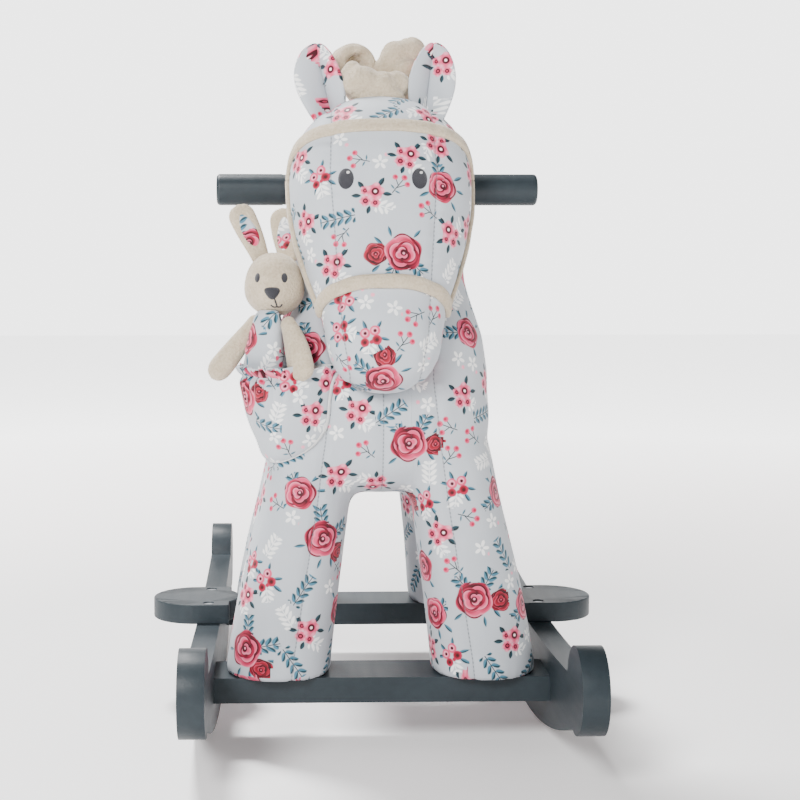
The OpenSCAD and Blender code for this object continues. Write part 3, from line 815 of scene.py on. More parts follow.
def print_cloth(piece, chosen=(), seed=1, spacing=0.92, kinds=KINDS):
    """Places motifs on the piece: the chosen ones first, then a seeded even fill.

    chosen holds (kind, x, z, degrees) in millimetres, found on the side that faces -Y, or
    (kind, (x, y, z), degrees) for the nearest place. The faces then go to their motifs.
    """
    mesh = piece.data
    centres, normals = read(mesh.polygons, "center"), read(mesh.polygons, "normal")
    tree = surface(piece)
    placed = []
    for kind, *where, degrees in chosen:
        if len(where) == 2:
            hit = tree.ray_cast(Vector((where[0] * MM, -1.0, where[1] * MM)), Vector((0, 1, 0)))
        else:
            hit = tree.find_nearest(Vector(where[0]) * MM)
        if hit[0] is not None:
            placed.append((kind, hit[0], hit[1], degrees))
    areas = read(mesh.polygons, "area", 1)
    seeded_fill(placed, centres, normals, areas, random.Random(seed), spacing, kinds)
    owner = np.zeros(len(centres), int)
    best = np.full(len(centres), 1e9)
    across, upward = np.zeros((len(placed), 3)), np.zeros((len(placed), 3))
    for i, (kind, spot, normal, degrees) in enumerate(placed):
        reach = np.linalg.norm(centres - np.array(spot), axis=1) / (MOTIFS[kind][1] * MM)
        agree = normals @ np.array(normal)
        reach = reach + (1 - agree) * 0.5 + np.where(agree < 0.0, 3.0, 0.0)
        closer = reach < best
        owner[closer], best[closer] = i, reach[closer]
        across[i], upward[i] = axes_at(normal, degrees)
    corner = read(mesh.loops, "vertex_index", 1, int)
    whose = np.repeat(owner, read(mesh.polygons, "loop_total", 1, int))
    offset = points_of(piece)[corner] - np.array([p[1] for p in placed])[whose]
    place = np.zeros((len(corner), 3))
    place[:, 0] = (offset * across[whose]).sum(1) / MM
    place[:, 1] = (offset * upward[whose]).sum(1) / MM
    data = mesh.attributes.new("print_at", "FLOAT_VECTOR", "CORNER")
    data.data.foreach_set("vector", place.astype(np.float32).ravel())
    if "seam" not in mesh.attributes:
        store(piece, "seam", np.full(len(mesh.vertices), NO_SEAM))
    give(piece, *CLOTHS)
    index = np.array([KINDS.index(p[0]) for p in placed], np.int32)[owner]
    mesh.polygons.foreach_set("material_index", index)
    mesh.update()


def store(piece, name, values):
    data = piece.data.attributes.new(name, "FLOAT", "POINT")
    data.data.foreach_set("value", values.astype(np.float32))


# ---- The stuffed horse ----


def chest_seam(points):
    """Signed distance in millimetres to the seams beside the chest, back and legs."""
    x, z = np.abs(points[:, 0]) / MM, points[:, 2] / MM
    return x - np.interp(z, [62, 204, 300, 480], [73, 51, 40, 40])


def face_seam(points):
    x, z = np.abs(points[:, 0]) / MM, points[:, 2] / MM
    return x - np.interp(z, [290, 340, 400, 460, 520], [26, 34, 38, 42, 40])


def pins_along(distance):
    """How firmly the cloth is held at this distance in millimetres from a seam, from 0 to 1."""
    return np.clip(1.4 - np.abs(distance) / 3.0, 0, 1)


def sewn(piece, seams, depth, seed):
    """Pulls the cloth in along its seams, with small puckers, and stores the nearest seam."""
    points = points_of(piece)
    distance = np.full(len(points), NO_SEAM)
    for seam in seams:
        distance = np.where(np.abs(seam) < np.abs(distance), seam, distance)
    z = points[:, 2] / MM
    ripple = np.sin(z * 0.62 + seed) * np.sin(z * 0.171 + 2.0 * seed)
    valley = np.exp(-((distance / 3.4) ** 2)) * depth
    pucker = np.exp(-((distance / 8.0) ** 2)) * ripple * 0.42
    pushed(piece, ((pucker - valley) * MM)[:, None])
    store(piece, "seam", distance)


LEGS = ["front_left", "front_right", "rear_left", "rear_right"]
handle_low, handle_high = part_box("handle")
handle_y = (handle_low.y + handle_high.y) / 2
handle_z = (handle_low.z + handle_high.z) / 2
handle_plug = (0.0145, (-0.05, handle_y, handle_z), (0.05, handle_y, handle_z))

body = merged_form(
    "horse_body",
    ["body_filling"] + [leg + "_filling" for leg in LEGS],
    ["body_board", "neck_post", "neck_braces"] + [leg + "_post" for leg in LEGS],
    4.6 * MM,
    [handle_plug],
)
smoothed(body, 10)
points = points_of(body)
floor_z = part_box("leg_soles")[0].z
hem = (points[:, 2] < floor_z + 6 * MM).astype(float)
middle_pins = pins_along(points[:, 0] / MM) * (points[:, 1] < -0.09)
pins = np.maximum(pins_along(chest_seam(points)), middle_pins)
puffed(body, np.maximum(pins, hem), 4.5 * MM)
smoothed(body, 2)
finer(body)
x, y, z = points_of(body).T
above_legs = z > 0.205
chest_middle = np.where((y < -0.10) & above_legs, x / MM, NO_SEAM)
back_middle = np.where((y > 0.0) & above_legs, x / MM, NO_SEAM)
sewn(body, [chest_seam(points_of(body)), chest_middle, back_middle], 1.5, 1.0)
points, normals = points_of(body), normals_of(body)
near_hem = np.clip((floor_z + 14 * MM - points[:, 2]) / (14 * MM), 0, 1)
points[:, :2] += normals[:, :2] * (near_hem * 1.8 * MM)[:, None]
points[:, 2] = np.maximum(points[:, 2] - near_hem * 6 * MM, floor_z + 0.3 * MM)
set_points(body, points)

head = merged_form("horse_head", ["head_filling"], ["neck_post"], 4.2 * MM, [handle_plug])
smoothed(head, 8)
puffed(head, pins_along(face_seam(points_of(head))), 4.0 * MM)
smoothed(head, 2)
finer(head)
sewn(head, [face_seam(points_of(head))], 1.3, 2.0)

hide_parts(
    "body_filling", "left_body_cover", "right_body_cover", "left_gusset", "right_gusset",
    "leg_soles", *[leg + "_filling" for leg in LEGS], *[leg + "_cover" for leg in LEGS],
)
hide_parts("head_filling", "face_panel", "left_cheek", "right_cheek")
head_tree, body_tree = surface(head), surface(body)

BODY_PRINT = [
    ("rose_pair", 20, 248, 0), ("sprig", 7, 273, 0), ("cluster", -20, 274, 0),
    ("trio", -14, 243, 0), ("cluster", 64, 285, 20), ("rose", 70, 334, 60),
    ("cluster", -57, 270, 10), ("rose", -66, 209, 0), ("cluster", -36, 222, 10),
    ("sprig", -74, 236, -10), ("rose_pair", -48, 172, -35), ("posy", -93, 139, 20),
    ("rose_pair", -110, 84, -40), ("cluster", -60, 99, 0), ("white_sprig", -78, 112, 90),
    ("posy", 59, 213, 0), ("posy", 34, 200, 10), ("rose", 92, 206, 90),
    ("rose_pair", 72, 124, 0), ("trio", 56, 150, 0), ("white_bloom", 78, 165, 0),
    ("cluster", 103, 91, 10), ("rose", 42, 110, -80), ("posy", 55, 78, 30),
    ("trio", 72, 252, 0), ("white_sprig", 36, 226, 60), ("white_sprig", -88, 168, 30),
    ("white_bloom", -72, 190, 0), ("sprig", 96, 160, 80), ("trio", -85, 200, 20),
]
HEAD_PRINT = [
    ("rose_pair", 14, 398, 184), ("rose", 46, 449, -20), ("cluster", 18, 472, 0),
    ("cluster", -10, 442, 10), ("posy", -50, 456, 30), ("posy", -12, 334, 0),
    ("posy", -34, 338, 90), ("rose_pair", -2, 300, 90), ("white_sprig", 34, 330, 0),
    ("cluster", -40, 388, 0), ("trio", -34, 410, 90), ("sprig", -38, 424, 160),
    ("trio", -20, 470, 30), ("white_bloom", -34, 486, 0), ("posy", 50, 352, 0),
    ("cluster", 52, 412, 80), ("white_bloom", 6, 356, 0), ("trio", 34, 430, 0),
    ("white_sprig", 30, 372, 120), ("trio", 22, 350, 60),
]
print_cloth(body, BODY_PRINT, seed=11)
print_cloth(head, HEAD_PRINT, seed=12)


# ---- Horse ears ----


def folded_ear(name, base, middle, tip, half, turn, split):
    """A stuffed leaf folded down its middle, with both long edges curling forwards.

    turn is which way the fold opens, and split how much of the width is on its -X lobe.
    """
    rows, columns = 20, 20
    points = []
    a, b, c = Vector(base), Vector(middle), Vector(tip)
    for i in range(rows + 1):
        t = i / rows
        at = a * ((1 - t) ** 2) + (b * 2 - (a + c) / 2) * (2 * t * (1 - t)) + c * (t * t)
        width = half * (1 - t**3.2) ** 0.6 * (0.34 + 0.72 * math.sin(math.pi * min(0.5, t * 0.8)))
        deep = half * 0.9 * (1 - t**2.2) ** 0.7
        for j in range(columns + 1):
            s = 2 * j / columns - 1
            share = split if s < 0 else 2 - split
            x = math.copysign(abs(s) ** 1.15 * width * share, s)
            y = -deep * (1.25 * abs(s) ** 0.75 - 0.35 * abs(s) ** 4)
            points.append((at + Vector((*spun(x, y, turn), 0))) * MM)
    made = add_mesh(name, points, grid_faces(rows, columns, flip=True))
    modified(made, "SOLIDIFY", thickness=5.0 * MM, offset=0.0)
    smoothed(made, 2)
    finer(made)
    return made


EAR_KINDS = ["cluster", "trio", "posy", "white_sprig"]
EARS = {
    "left_ear": ((35, -82, 490), (40, -79, 534), (45, -79, 569), 21, 0.12, 0.95),
    "right_ear": ((-31, -84, 490), (-43, -79, 534), (-50, -79, 568), 22, -0.25, 1.1),
}
for name, shape in EARS.items():
    ear = folded_ear("horse_" + name, *shape)
    print_cloth(ear, seed=21 + len(name), spacing=1.25, kinds=EAR_KINDS)
    dress(ear, name)


# ---- Bridle ----


def on_surface(tree, points):
    """The points' curve laid on a surface, with the directions away from it."""
    line = smooth_path([Vector(p) * MM for p in points], 2.5 * MM)
    line = [tree.find_nearest(p)[0] for p in line]
    for _ in range(3):
        line = relaxed(line)
    line, normals = zip(*(tree.find_nearest(p)[:2] for p in line))
    for _ in range(6):
        inner = [(a + b + c).normalized() for a, b, c in zip(normals, normals[1:], normals[2:])]
        normals = [normals[0], *inner, normals[-1]]
    return line, normals


def mirrored_path(half):
    return [(-x, y, z) for x, y, z in reversed(half)] + list(half[1:])


BROW = [(0, -150, 500), (24, -148, 499), (46, -138, 494), (62, -122, 484), (72, -106, 468),
        (75, -102, 452)]
CHEEK = [(75, -103, 456), (74, -108, 444), (72, -118, 424), (68, -128, 402), (61, -140, 376),
         (53, -151, 350)]
NOSE = [(0, -190, 377), (20, -188, 376), (38, -180, 370), (48, -168, 361), (53, -153, 349)]


def band(name, path, height=4.6):
    line, ups = on_surface(head_tree, path)
    return swept(
        name, line, ups, 11.6 * MM, height * MM, sink=1.4 * MM, around=14, taper=0.02,
        wobble=0.012, seed=len(name),
    )


finish_plush(band("brow_band", mirrored_path(BROW)), "browband", fill=0.7)
finish_plush(band("nose_band", mirrored_path(NOSE), 5.6), "noseband", fill=0.7)
cheeks = [band("left_band", CHEEK), band("right_band", [(-x, y, z) for x, y, z in CHEEK])]
finish_plush(joined("cheek_bands", cheeks), "cheek_straps", fill=0.7)


# ---- Embroidered faces ----


def stitched_patch(name, tree, centre, facing, outline, height, sink=0.3, rings=6):
    """A raised patch of stitching: the outline, in millimetres, laid on a surface."""
    facing = Vector(facing).normalized()
    across = Vector((0, 0, 1)).cross(facing).normalized()
    up = facing.cross(across)
    middle = Vector(centre) * MM
    count = len(outline)
    points, faces = [], []
    for r in range(rings + 1):
        share = r / rings
        for u, v in outline if r else outline[:1]:
            start = middle + across * (u * share * MM) + up * (v * share * MM) + facing * 0.05
            hit, normal, _, _ = tree.ray_cast(start, -facing)
            if hit is None:
                hit, normal, _, _ = tree.find_nearest(start - facing * 0.05)
            points.append(hit + normal * ((height * (1 - share**5) - sink * share**5) * MM))
    for k in range(count):
        faces.append((0, 1 + k, 1 + (k + 1) % count))
    for r in range(rings - 1):
        a, b = 1 + r * count, 1 + (r + 1) * count
        for k in range(count):
            j = (k + 1) % count
            faces.append((a + k, b + k, b + j, a + j))
    return outward(add_mesh(name, points, faces), facing)


def oval(width, height, lean, count=28):
    turns = [2 * math.pi * k / count for k in range(count)]
    return [spun(math.cos(a) * width / 2, math.sin(a) * height / 2, lean) for a in turns]


eye_parts, glint_parts = [], []
for x, tilt in ((-30.7, 0.12), (28.3, -0.12)):
    facing = (math.copysign(0.25, x), -0.92, 0.3)
    eye, glint = oval(13.5, 18.5, tilt), oval(3.4, 3.0, 0.2, 16)
    eye_parts.append(stitched_patch("eye", head_tree, (x, -165, 456), facing, eye, 1.0))
    glint_parts.append(
        stitched_patch("glint", head_tree, (x + 1.6, -165, 461), facing, glint, 1.6, 0.2, 3)
    )
eyes = joined("eye_stitching", eye_parts)
give(eyes, CHARCOAL)
dress(eyes, "eyes", slot="embroidery")
glints = joined("eye_glints", glint_parts)
give(glints, PALE_THREAD)
dress(glints, slot="embroidery")


# ---- Mane, tail and saddle ----


def bunch(name, lobes, voxel, seed):
    """Crumpled fleece: overlapping flattened lobes drawn together into one skin.

    Each lobe is (x, y, z, half width, half depth, half height, turn about Y in degrees).
    """
    whole = bmesh.new()
    for x, y, z, wide, deep, tall, turn in lobes:
        frame_of = Matrix.Translation(Vector((x, y, z)) * MM) @ Matrix.Rotation(
            math.radians(turn), 4, "Y"
        )
        scale = Matrix.Diagonal((wide * MM, deep * MM, tall * MM, 1.0))
        bmesh.ops.create_icosphere(whole, subdivisions=4, radius=1.0, matrix=frame_of @ scale)
    made = from_bmesh(name, whole)
    remeshed(made, voxel)
    smoothed(made, 3)
    x, y, z = (points_of(made) / MM).T
    folds = np.sin(x * 0.23 + 1.3 * np.sin(z * 0.11 + seed) + y * 0.12) + 0.7 * np.sin(
        z * 0.31 + 1.1 * np.sin(x * 0.13 + y * 0.19 + seed)
    )
    crease = -np.exp(-((folds / 0.22) ** 2))
    pushed(made, ((folds * 0.55 + crease * 0.9) * MM)[:, None])
    smoothed(made, 1)
    return made


def loop(name, centre, wide, tall, turn, start, sweep, thick, lean, seed):
    """A curl of fleece ribbon, part of an oval ring that stands up and is turned about Z."""
    line, ups = [], []
    steps = 40
    for i in range(steps + 1):
        a = start + sweep * i / steps
        drift = lean * (i / steps - 0.5)
        ring = Vector((*spun(math.cos(a) * wide, drift, turn), math.sin(a) * tall))
        line.append((Vector(centre) + ring) * MM)
        ups.append(Vector((*spun(math.cos(a), 0, turn), math.sin(a))))
    return swept(
        name, line, ups, thick[0] * MM, thick[1] * MM, sink=thick[1] * MM / 2, around=18,
        taper=0.06, wobble=0.05, seed=seed,
    )


def nape(z):
    """How far back the head and neck reach at this height, in millimetres."""
    start = Vector((0, 300, z)) * MM
    hits = [tree.ray_cast(start, Vector((0, -1, 0)))[0] for tree in (head_tree, body_tree)]
    return max(hit.y for hit in hits if hit is not None) / MM


TOP_LOBES = [
    (-14, -95, 534, 17, 12, 15, 8), (0, -95, 530, 17, 11, 14, -6), (-24, -90, 540, 9, 9, 13, 20),
    (9, -99, 521, 12, 10, 11, 0), (-4, -99, 520, 13, 10, 9, 10), (14, -90, 534, 11, 10, 12, 0),
    (14, -64, 556, 14, 13, 16, 20), (27, -62, 561, 14, 12, 15, -15), (38, -60, 552, 10, 11, 12, 0),
    (22, -72, 545, 14, 11, 12, 10), (6, -64, 545, 12, 12, 14, 0), (32, -74, 541, 9, 9, 10, 0),
    (18, -54, 533, 20, 14, 14, 0), (-10, -60, 532, 18, 14, 12, 0),
]
RIDGE = [512, 502, 491, 480, 469, 458, 447, 436, 425, 414, 403]
RIDGE_LOBES = [
    (5 * math.sin(k * 2.3), min(nape(z) + 1.5, -12) + 1.5 * math.sin(k * 1.7), z,
     15 + 2 * math.sin(k * 3.1), 10, 12 + 2 * math.cos(k * 2.1), 25 * math.sin(k * 2.3))
    for k, z in enumerate(RIDGE)
] + [(0, -52, 524, 17, 15, 13, 0)]
LOOPS = [
    ((-21, -63, 552), 12, 13, 0.5, -0.9, 4.7, (22, 11), 8),
    ((-16, -56, 548), 12, 12, -0.3, -0.6, 4.5, (20, 10), -6),
]
top = bunch("bunch", TOP_LOBES, 1.6 * MM, 0.4)
ridge = bunch("ridge", RIDGE_LOBES, 2.0 * MM, 1.9)
curls = joined("curls", [loop("curl", *curl, seed=31 + i) for i, curl in enumerate(LOOPS)])
finer(curls)
finish_plush(joined("fleece_mane", [top, ridge, curls]), "mane", fill=0.6)

tail_curls = []
for i in range(5):
    x = (i - 2) * 5.5
    path = [(x * 0.3, 184, 306), (x * 0.6, 200, 303), (x, 211 + (i % 2) * 4, 284),
            (x * 1.3, 212 - (i % 2) * 5, 256), (x * 1.1, 208, 224 + 4 * abs(i - 2))]
    line = smooth_path([Vector(p) * MM for p in path], 3 * MM)
    ups = [Vector((x * 0.05, 1, 0.2)).normalized() for _ in line]
    tail_curls.append(
        swept("strand", line, ups, 12 * MM, 10 * MM, sink=5 * MM, taper=0.1, wobble=0.05,
              seed=50 + i)
    )
tail = joined("fleece_tail", tail_curls)
finer(tail)
finish_plush(tail, "tail", fill=0.6)

saddle = merged_form("plush_saddle", ["saddle"], [], 3.0 * MM)
smoothed(saddle, 6)
pushed(saddle, 0.9 * MM)
finer(saddle)
finish_plush(saddle, "saddle", fill=0.5)


# ---- Pocket ----

# A place on the pocket is how far along it from POCKET, and how high, in millimetres
POCKET = Vector((-80, -122, 0)) * MM
OUT = Vector((-0.7193, -0.6947, 0))
ALONG = Vector((0.6947, -0.7193, 0))
RIM_Z = 309.0
PATCH_MID = (8.0, 273.0)
PATCH_HALF = 45.0
PATCH_DEEP = 41.0


def pocket_point(a, b, out=0.0):
    return POCKET + ALONG * (a * MM) + OUT * (out * MM) + Vector((0, 0, b * MM))


def skin_at(a, b):
    """How far out the horse's skin is at this place of the pocket, in millimetres."""
    hit = body_tree.ray_cast(pocket_point(a, b, 90.0), -OUT)[0]
    return (hit - POCKET).dot(OUT) / MM if hit is not None else -20.0


def patch_edge(angle):
    """The patch's outline: a half circle below, and straight sides up to the rim."""
    c, s = math.cos(angle), math.sin(angle)
    if s <= 0:
        return PATCH_MID[0] + c * PATCH_HALF, PATCH_MID[1] + s * PATCH_DEEP
    scale = 1 / max(abs(c) / PATCH_HALF, s / (RIM_Z - PATCH_MID[1]))
    return PATCH_MID[0] + c * scale, PATCH_MID[1] + s * scale


def patch_grid(columns, rows):
    """Places over the patch: across from edge to edge at each height, from the rim down."""
    grid = []
    for i in range(rows + 1):
        t = i / rows
        b = RIM_Z - t * (RIM_Z - PATCH_MID[1] + PATCH_DEEP)
        down = max(0.0, PATCH_MID[1] - b) / PATCH_DEEP
        half = PATCH_HALF * max(math.sqrt(max(1 - down**2, 0.0)), 0.12)
        grid.append([(PATCH_MID[0] + half * (2 * j / columns - 1), b) for j in range(columns + 1)])
    return grid


COLUMNS, ROWS = 120, 44
grid = patch_grid(COLUMNS, ROWS)
skin = np.array([[skin_at(a, b) for a, b in row] for row in grid])
for _ in range(4):
    skin[1:-1, 1:-1] = (
        skin[1:-1, 1:-1] * 2 + skin[:-2, 1:-1] + skin[2:, 1:-1] + skin[1:-1, :-2] + skin[1:-1, 2:]
    ) / 6

points = [pocket_point(a, b, skin[i, j] + 1.2) for i, row in enumerate(grid)
          for j, (a, b) in enumerate(row)]
patch = add_mesh("pocket_backing", points, grid_faces(ROWS, COLUMNS))
modified(patch, "SOLIDIFY", thickness=1.4 * MM, offset=0.0)
print_cloth(patch, seed=41, kinds=["trio", "white_sprig", "posy", "white_bloom"])
dress(patch, "pocket_back")

POUCH_BULGE = 40.0  # how far the pouch stands off the patch, in millimetres


def hump(x, width, middle=0.0):
    """A bell curve of height 1."""
    return math.exp(-(((x - middle) / width) ** 2))


def pouch_point(i, j):
    """A place on the pouch: bulging low down, and gathered by elastic just below its rim."""
    t, s = i / ROWS, 2 * j / COLUMNS - 1
    side = (1 - abs(s) ** 2.6) ** 0.62
    bulge = POUCH_BULGE * side * (1 - t) ** 0.62 * (1 - 0.12 * hump(t, 0.2))
    near_top = hump(t, 0.15)
    wander = j + 2.5 * math.sin(j * 0.11 + 1.0)
    gather = abs(math.sin(wander * 0.36)) * 4.6 + abs(math.sin(wander * 0.23 + 0.8)) * 2.4 - 3.5
    gather = gather * (near_top + 0.45 * hump(t, 0.22, 0.16)) * side
    neck_in = (3.0 * hump(t, 0.05) - 5.0 * hump(t, 0.04, 0.11)) * side
    lift = (math.sin(j * 0.55) * 0.9 + math.sin(j * 0.31 + 1.0) * 0.8) * near_top
    a, b = grid[i][j]
    return pocket_point(a, b + lift, skin[i, j] + 2.6 + bulge + gather + neck_in)


points = [pouch_point(i, j) for i in range(ROWS + 1) for j in range(COLUMNS + 1)]
pouch = add_mesh("pocket_pouch_cloth", points, grid_faces(ROWS, COLUMNS))
smoothed(pouch, 1)
modified(pouch, "SOLIDIFY", thickness=1.1 * MM, offset=1.0)
finer(pouch)
POUCH_PRINT = [
    ("rose_pair", -109, 284, 20), ("cluster", -56, 272, 10), ("trio", -76, 245, -30),
    ("white_bloom", -86, 254, 0), ("posy", -73, 298, 70), ("white_sprig", -84, 274, 40),
    ("sprig", -92, 262, -50), ("trio", -90, 300, 0), ("white_bloom", -66, 286, 0),
]
print_cloth(pouch, POUCH_PRINT, seed=42)
dress(pouch, "pocket_pouch")

edge = [patch_edge(math.radians(d)) for d in range(135, 406, 3)]
line = [pocket_point(a, b, skin_at(a, b) + 1.5) for a, b in edge if b < RIM_Z + 1]
for _ in range(3):
    line = relaxed(line)
piping = swept("pocket_piping", line, [OUT] * len(line), 3.2 * MM, 3.2 * MM, 1.2 * MM, 12)
give(piping, PIPING)
dress(piping)


# ---- Rabbit ----

rabbit_low, rabbit_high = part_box("rabbit_head")
HEAD_AT = (rabbit_low + rabbit_high) / 2 + Vector((3.4, -1.0, 0.5)) * MM
HEAD_R = (rabbit_high.x - rabbit_low.x) / 2
FACE_TURN = math.radians(-8)


def rabbit_skull():
    """A ball that is fuller at the cheeks and muzzle, with a seam over the top."""
    mesh = bmesh.new()
    bmesh.ops.create_icosphere(mesh, subdivisions=5, radius=1.0)
    for vertex in mesh.verts:
        x, y, z = vertex.co
        cheek = 1.03 + 0.05 * math.sin((z + 0.25) * -2.6)
        muzzle = 0.1 * math.exp(-(((x / 0.5) ** 2) + ((z + 0.22) / 0.42) ** 2)) * (y < 0)
        seam = 0.02 * math.exp(-((x / 0.035) ** 2)) * (z > 0.25)
        grow = 1 - seam
        vertex.co = (x * cheek * grow, y * (0.94 + muzzle) * grow, z * 1.06 * grow)
    made = from_bmesh("rabbit_head_plush", mesh)
    made.data.shade_smooth()
    points = points_of(made) * HEAD_R
    points[:, 0], points[:, 1] = spun(points[:, 0], points[:, 1], FACE_TURN)
    set_points(made, points + np.array(HEAD_AT))
    return made


skull = rabbit_skull()
skull_tree = surface(skull)
finish_plush(skull, "rabbit_head", fill=0.9, body_name="rabbit")
FACE_OUT = Vector((math.sin(FACE_TURN), -math.cos(FACE_TURN), 0.0))
FACE_SIDE = Vector((0, 0, 1)).cross(FACE_OUT)


def face_point(x, z, out):
    """A place in front of the rabbit's head: x and z in millimetres, out in metres."""
    return HEAD_AT + FACE_SIDE * (x * MM) + Vector((0, 0, z * MM)) + FACE_OUT * out


def face_patch(name, x, z, outline, height, tip=0.0):
    facing = FACE_OUT + FACE_SIDE * (x * 0.03) + Vector((0, 0, tip))
    at = face_point(x, z, HEAD_R) / MM
    return stitched_patch(name, skull_tree, at, facing, outline, height)


def rounded_triangle(width, height):
    ring, count = [], 30
    for k in range(count):
        a = 2 * math.pi * k / count
        r = 1 + 0.13 * math.cos(3 * (a + math.pi / 2)) + 0.02 * math.cos(6 * (a + math.pi / 2))
        ring.append((math.cos(a) * r * width / 2, math.sin(a) * r * height / 2))
    return ring


def thread(name, spots, radius):
    """A line of stitching through spots of the rabbit's face."""
    places = [skull_tree.ray_cast(face_point(x, z, 0.06), -FACE_OUT)[0] for x, z in spots]
    line = smooth_path(places, 0.8 * MM)
    ups = [skull_tree.find_nearest(p)[1] for p in line]
    return swept(name, line, ups, 2 * radius * MM, 2 * radius * MM, radius * MM, 8)


features = joined("rabbit_face_stitching", [
    face_patch("eye", -12.2, 5.6, oval(5.4, 8.0, 0.05), 0.8),
    face_patch("eye", 12.6, 5.6, oval(5.6, 8.2, -0.05), 0.8),
    face_patch("nose", 1.6, -6.0, rounded_triangle(12.5, 10.5), 1.3, tip=-0.1),
    thread("philtrum", [(3.0, -10.0), (3.8, -13.0), (4.4, -16.4)], 0.6),
    thread("mouth", [(-0.2, -15.8), (2.0, -17.4), (4.4, -17.2), (6.8, -17.2), (8.6, -15.2)], 0.6),
])
give(features, CHARCOAL)
dress(features, "rabbit_face", slot="embroidery", body_name="rabbit")


def padded_leaf(name, spine, width, thick, facing, slim, dent=0.0):
    """A stuffed flat limb along its spine: slim at the start, wide near the end, round tip."""
    line = smooth_path([Vector(p) * MM for p in spine], 1.6 * MM)
    last = len(line) - 1
    around = 22
    points = []
    for i, at in enumerate(line):
        t = i / last
        way = (line[min(i + 1, last)] - line[max(i - 1, 0)]).normalized()
        up = (Vector(facing) - way * Vector(facing).dot(way)).normalized()
        side = up.cross(way)
        swell = slim + (1 - slim) * math.sin(min(1.0, t * 1.25) * math.pi / 2) ** 1.3
        cap = math.sqrt(max(0.0, 1 - max(0.0, (t - 0.8) / 0.2) ** 2.2))
        start = math.sqrt(min(1.0, (t + 0.02) / 0.08))
        size = max(0.03, swell * cap * start)
        for k in range(around):
            a = 2 * math.pi * k / around
            hollow = dent * math.exp(-((math.cos(a)) ** 2) * 5) * (math.sin(a) > 0)
            u = math.cos(a) * width / 2 * size * MM
            w = math.sin(a) * thick / 2 * size * (1 - hollow) * MM
            points.append(at + side * u + up * w)
    return tube(name, points, around)


# For each ear: its spine, and the way its lining faces
RABBIT_EARS = [
    ([(-74, -121, 388), (-76, -110, 401), (-78, -100, 415), (-80, -93, 434)], (-0.25, -0.95, 0.1)),
    ([(-95, -120, 389), (-101, -115, 404), (-108, -110, 419), (-116, -107, 436)],
     (0.1, -0.98, 0.15)),
]
ears, linings = [], []
for spine, facing in RABBIT_EARS:
    one = padded_leaf("ear", spine, 21.5, 9.0, facing, slim=0.62, dent=0.35)
    a, b = Vector(spine[1]), Vector(spine[3])
    way = (b - a).normalized()
    lean = math.atan2(way.x, way.z)
    shape = [spun(u * (1 - 0.16 * v / 14), v, -lean) for u, v in oval(13.0, 31.0, 0.0, 30)]
    middle = a + (b - a) * 0.36
    linings.append(stitched_patch("lining", surface(one), middle, facing, shape, 0.7, 0.35, 8))
    ears.append(one)
rabbit_ears = joined("rabbit_ear_plush", ears)
finish_plush(rabbit_ears, "rabbit_ears", fill=0.6, body_name="rabbit")
lining = joined("rabbit_ear_lining_cloth", linings)
print_cloth(
    lining,
    [("rose", (-106, -118, 405), 30), ("sprig", (-114, -114, 422), 60),
     ("posy", (-79, -108, 404), 0), ("white_sprig", (-80, -100, 420), 0)],
    seed=61, kinds=["trio", "sprig", "posy"],
)
dress(lining, "rabbit_ear_linings", body_name="rabbit")

# Along the pocket, outwards from the horse, height, half width and half depth, in millimetres
TORSO = [
    (2, 13, 251, 6, 2.5), (2, 13.5, 256, 13, 4.5), (2, 15, 266, 18, 7.5), (1, 18, 284, 21, 11),
    (0.5, 20, 304, 20.5, 12.5), (1.5, 20, 322, 18.5, 12), (3, 19, 338, 15.5, 10.5),
    (4, 18.5, 349, 12, 8.5), (4, 18.5, 353, 8, 5),
]
heights = np.linspace(TORSO[0][2], TORSO[-1][2], 60)
columns = np.array(TORSO).T
sections = zip(heights, *(np.interp(heights, columns[2], columns[k]) for k in (0, 1, 3, 4)))
around = 48
points = []
for height, across, out, half, deep in sections:
    for k in range(around):
        a = 2 * math.pi * k / around
        dimple = 1 + 0.02 * math.sin(height * 0.5 + 2 * math.cos(a)) + 0.012 * math.sin(3 * a)
        points.append(pocket_point(across + math.cos(a) * half * dimple, height,
                                   out + math.sin(a) * deep * dimple))
torso = tube("rabbit_body_cloth", points, around)
smoothed(torso, 4)
print_cloth(
    torso,
    [("rose", (-108, -135, 330), 60), ("white_bloom", (-86, -152, 322), 0),
     ("trio", (-70, -153, 318), 40), ("white_sprig", (-92, -150, 309), 30)],
    seed=62,
)
dress(torso, "rabbit_body", body_name="rabbit")

ARMS = {
    "rabbit_left_arm": ([(-77, -147, 346), (-72, -155, 335), (-67, -164, 319), (-63, -170, 298)],
                        (-0.55, -0.8, 0.15), 23.0),
    "rabbit_right_arm": ([(-99, -124, 347), (-106, -122, 336), (-120, -118, 317),
                          (-137, -115, 296)], (-0.35, -0.9, 0.1), 20.0),
}
for name, (spine, facing, wide) in ARMS.items():
    arm = padded_leaf(name + "_plush", spine, wide, 14.5, facing, slim=0.52)
    finer(arm)
    finish_plush(arm, name, fill=0.8, body_name=name)


# ---- Finish of the horse and of the CAD parts that show ----

for piece in (body, head):
    dress(piece)

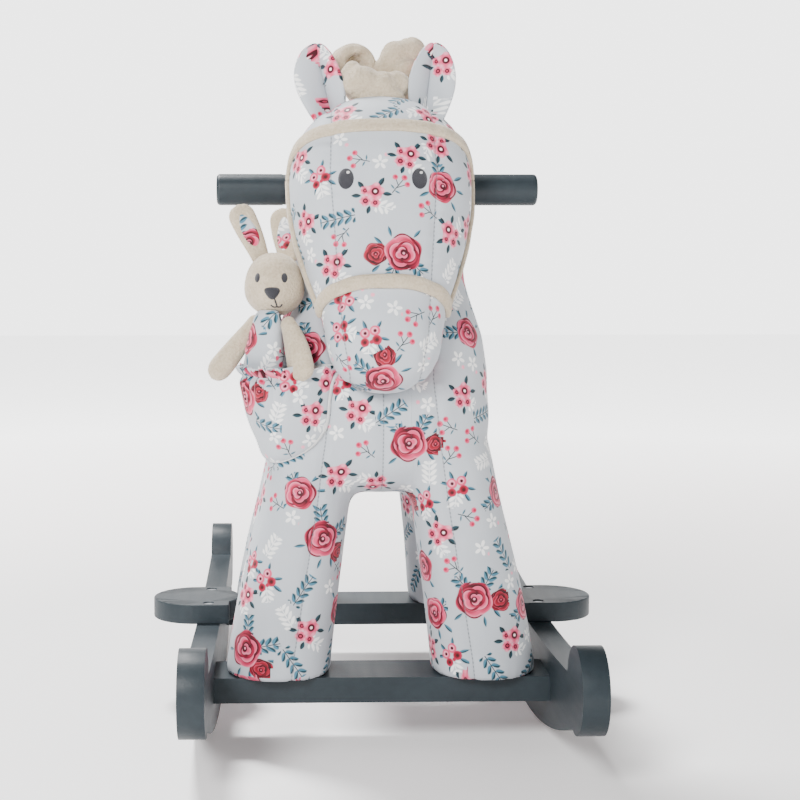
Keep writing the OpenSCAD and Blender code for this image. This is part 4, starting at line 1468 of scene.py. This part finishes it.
FINISHES = {"painted_wood": PAINT, "bare_wood": WOOD, "steel": STEEL}
slots = {row["node"]: row["material_slot"] for row in frame["record"]["subparts"]}
ROUND_EDGES = {
    "left_rocker": 3.2, "right_rocker": 3.2, "front_crossbar": 1.6, "rear_crossbar": 1.6,
    "left_footrest": 3.6, "right_footrest": 3.6, "body_board": 1.5,
}
for name, node in nodes.items():
    if node.hide_render:
        continue
    node.data.materials.clear()
    node.data.materials.append(FINISHES[slots[name]])
    if name in ROUND_EDGES:
        weld = node.modifiers.new("weld", "WELD")
        weld.merge_threshold = 1e-6
        bevel = node.modifiers.new("bevel", "BEVEL")
        bevel.width = ROUND_EDGES[name] * MM
        bevel.segments = 4
        bevel.limit_method = "ANGLE"
        bevel.angle_limit = math.radians(50)
        bevel.harden_normals = True

# ---- Floor and light ----

floor = add_mesh("floor", [(-6, -6, 0), (6, -6, 0), (6, 6, 0), (-6, 6, 0)], [(0, 1, 2, 3)], False)
floor_paint = Paint("floor", rough=0.7, specular=0.1)
floor_paint.colour(floor_paint.mix(floor_paint.noise(1.5), ink(250, 249, 248), ink(253, 253, 253)))
# The floor glows though it is no lamp, which is painted light. Near the horse the glow is faint
# and pinkish, so the shadows there read brownish and the horse is lit a little from below. Far off
# it is strong and white, so the floor fades into the backdrop.
floor_x, floor_y, _ = floor_paint.split(floor_paint.place)
far = (floor_x.length_with(floor_y) - 1.3).inside(0.8)
floor_paint.tree.links.new(
    (far * 2.6 + 0.18).socket, floor_paint.shader.inputs["Emission Strength"]
)
# Painted shadow tint: the glow's colour is pinkish near the horse and white far off.
floor_paint.tree.links.new(
    floor_paint.mix(far, (1.0, 0.86, 0.84, 1.0), (1.0, 1.0, 1.0, 1.0)),
    floor_paint.shader.inputs["Emission Color"],
)
give(floor, floor_paint.material)

world = bpy.data.worlds.new("studio")
world.use_nodes = True
tree = world.node_tree
glow = tree.nodes["Background"]
glow.inputs["Color"].default_value = (1, 1, 1, 1)
heading = tree.nodes.new("ShaderNodeSeparateXYZ")
tree.links.new(tree.nodes.new("ShaderNodeTexCoord").outputs["Generated"], heading.inputs[0])
ahead = Value(tree, heading.outputs[1])
above = Value(tree, heading.outputs[2])
backdrop = (ahead - 0.8).inside(0.12) * (above.size() * -1.0 + 0.38).inside(0.12)
haze = (above.size() * -1.0 + 0.3).inside(0.15) * (ahead + 0.3).inside(0.3)
tree.links.new((backdrop * 2.7 + haze * 0.7 + 0.26).socket, glow.inputs["Strength"])
scene.world = world


def area_light(name, place, aim, size, power):
    data = bpy.data.lights.new(name, "AREA")
    data.shape = "DISK"
    data.size = size
    data.energy = power
    lamp = bpy.data.objects.new(name, data)
    scene.collection.objects.link(lamp)
    lamp.location = place
    lamp.rotation_euler = (Vector(aim) - Vector(place)).to_track_quat("-Z", "Y").to_euler()


area_light("key", (-0.9, -1.9, 1.35), (0, 0, 0.3), 0.7, 66)
area_light("fill", (1.6, -1.5, 0.9), (0, 0, 0.3), 1.6, 8)
area_light("top", (-0.7, 0.9, 2.3), (0, 0, 0.1), 0.6, 118)
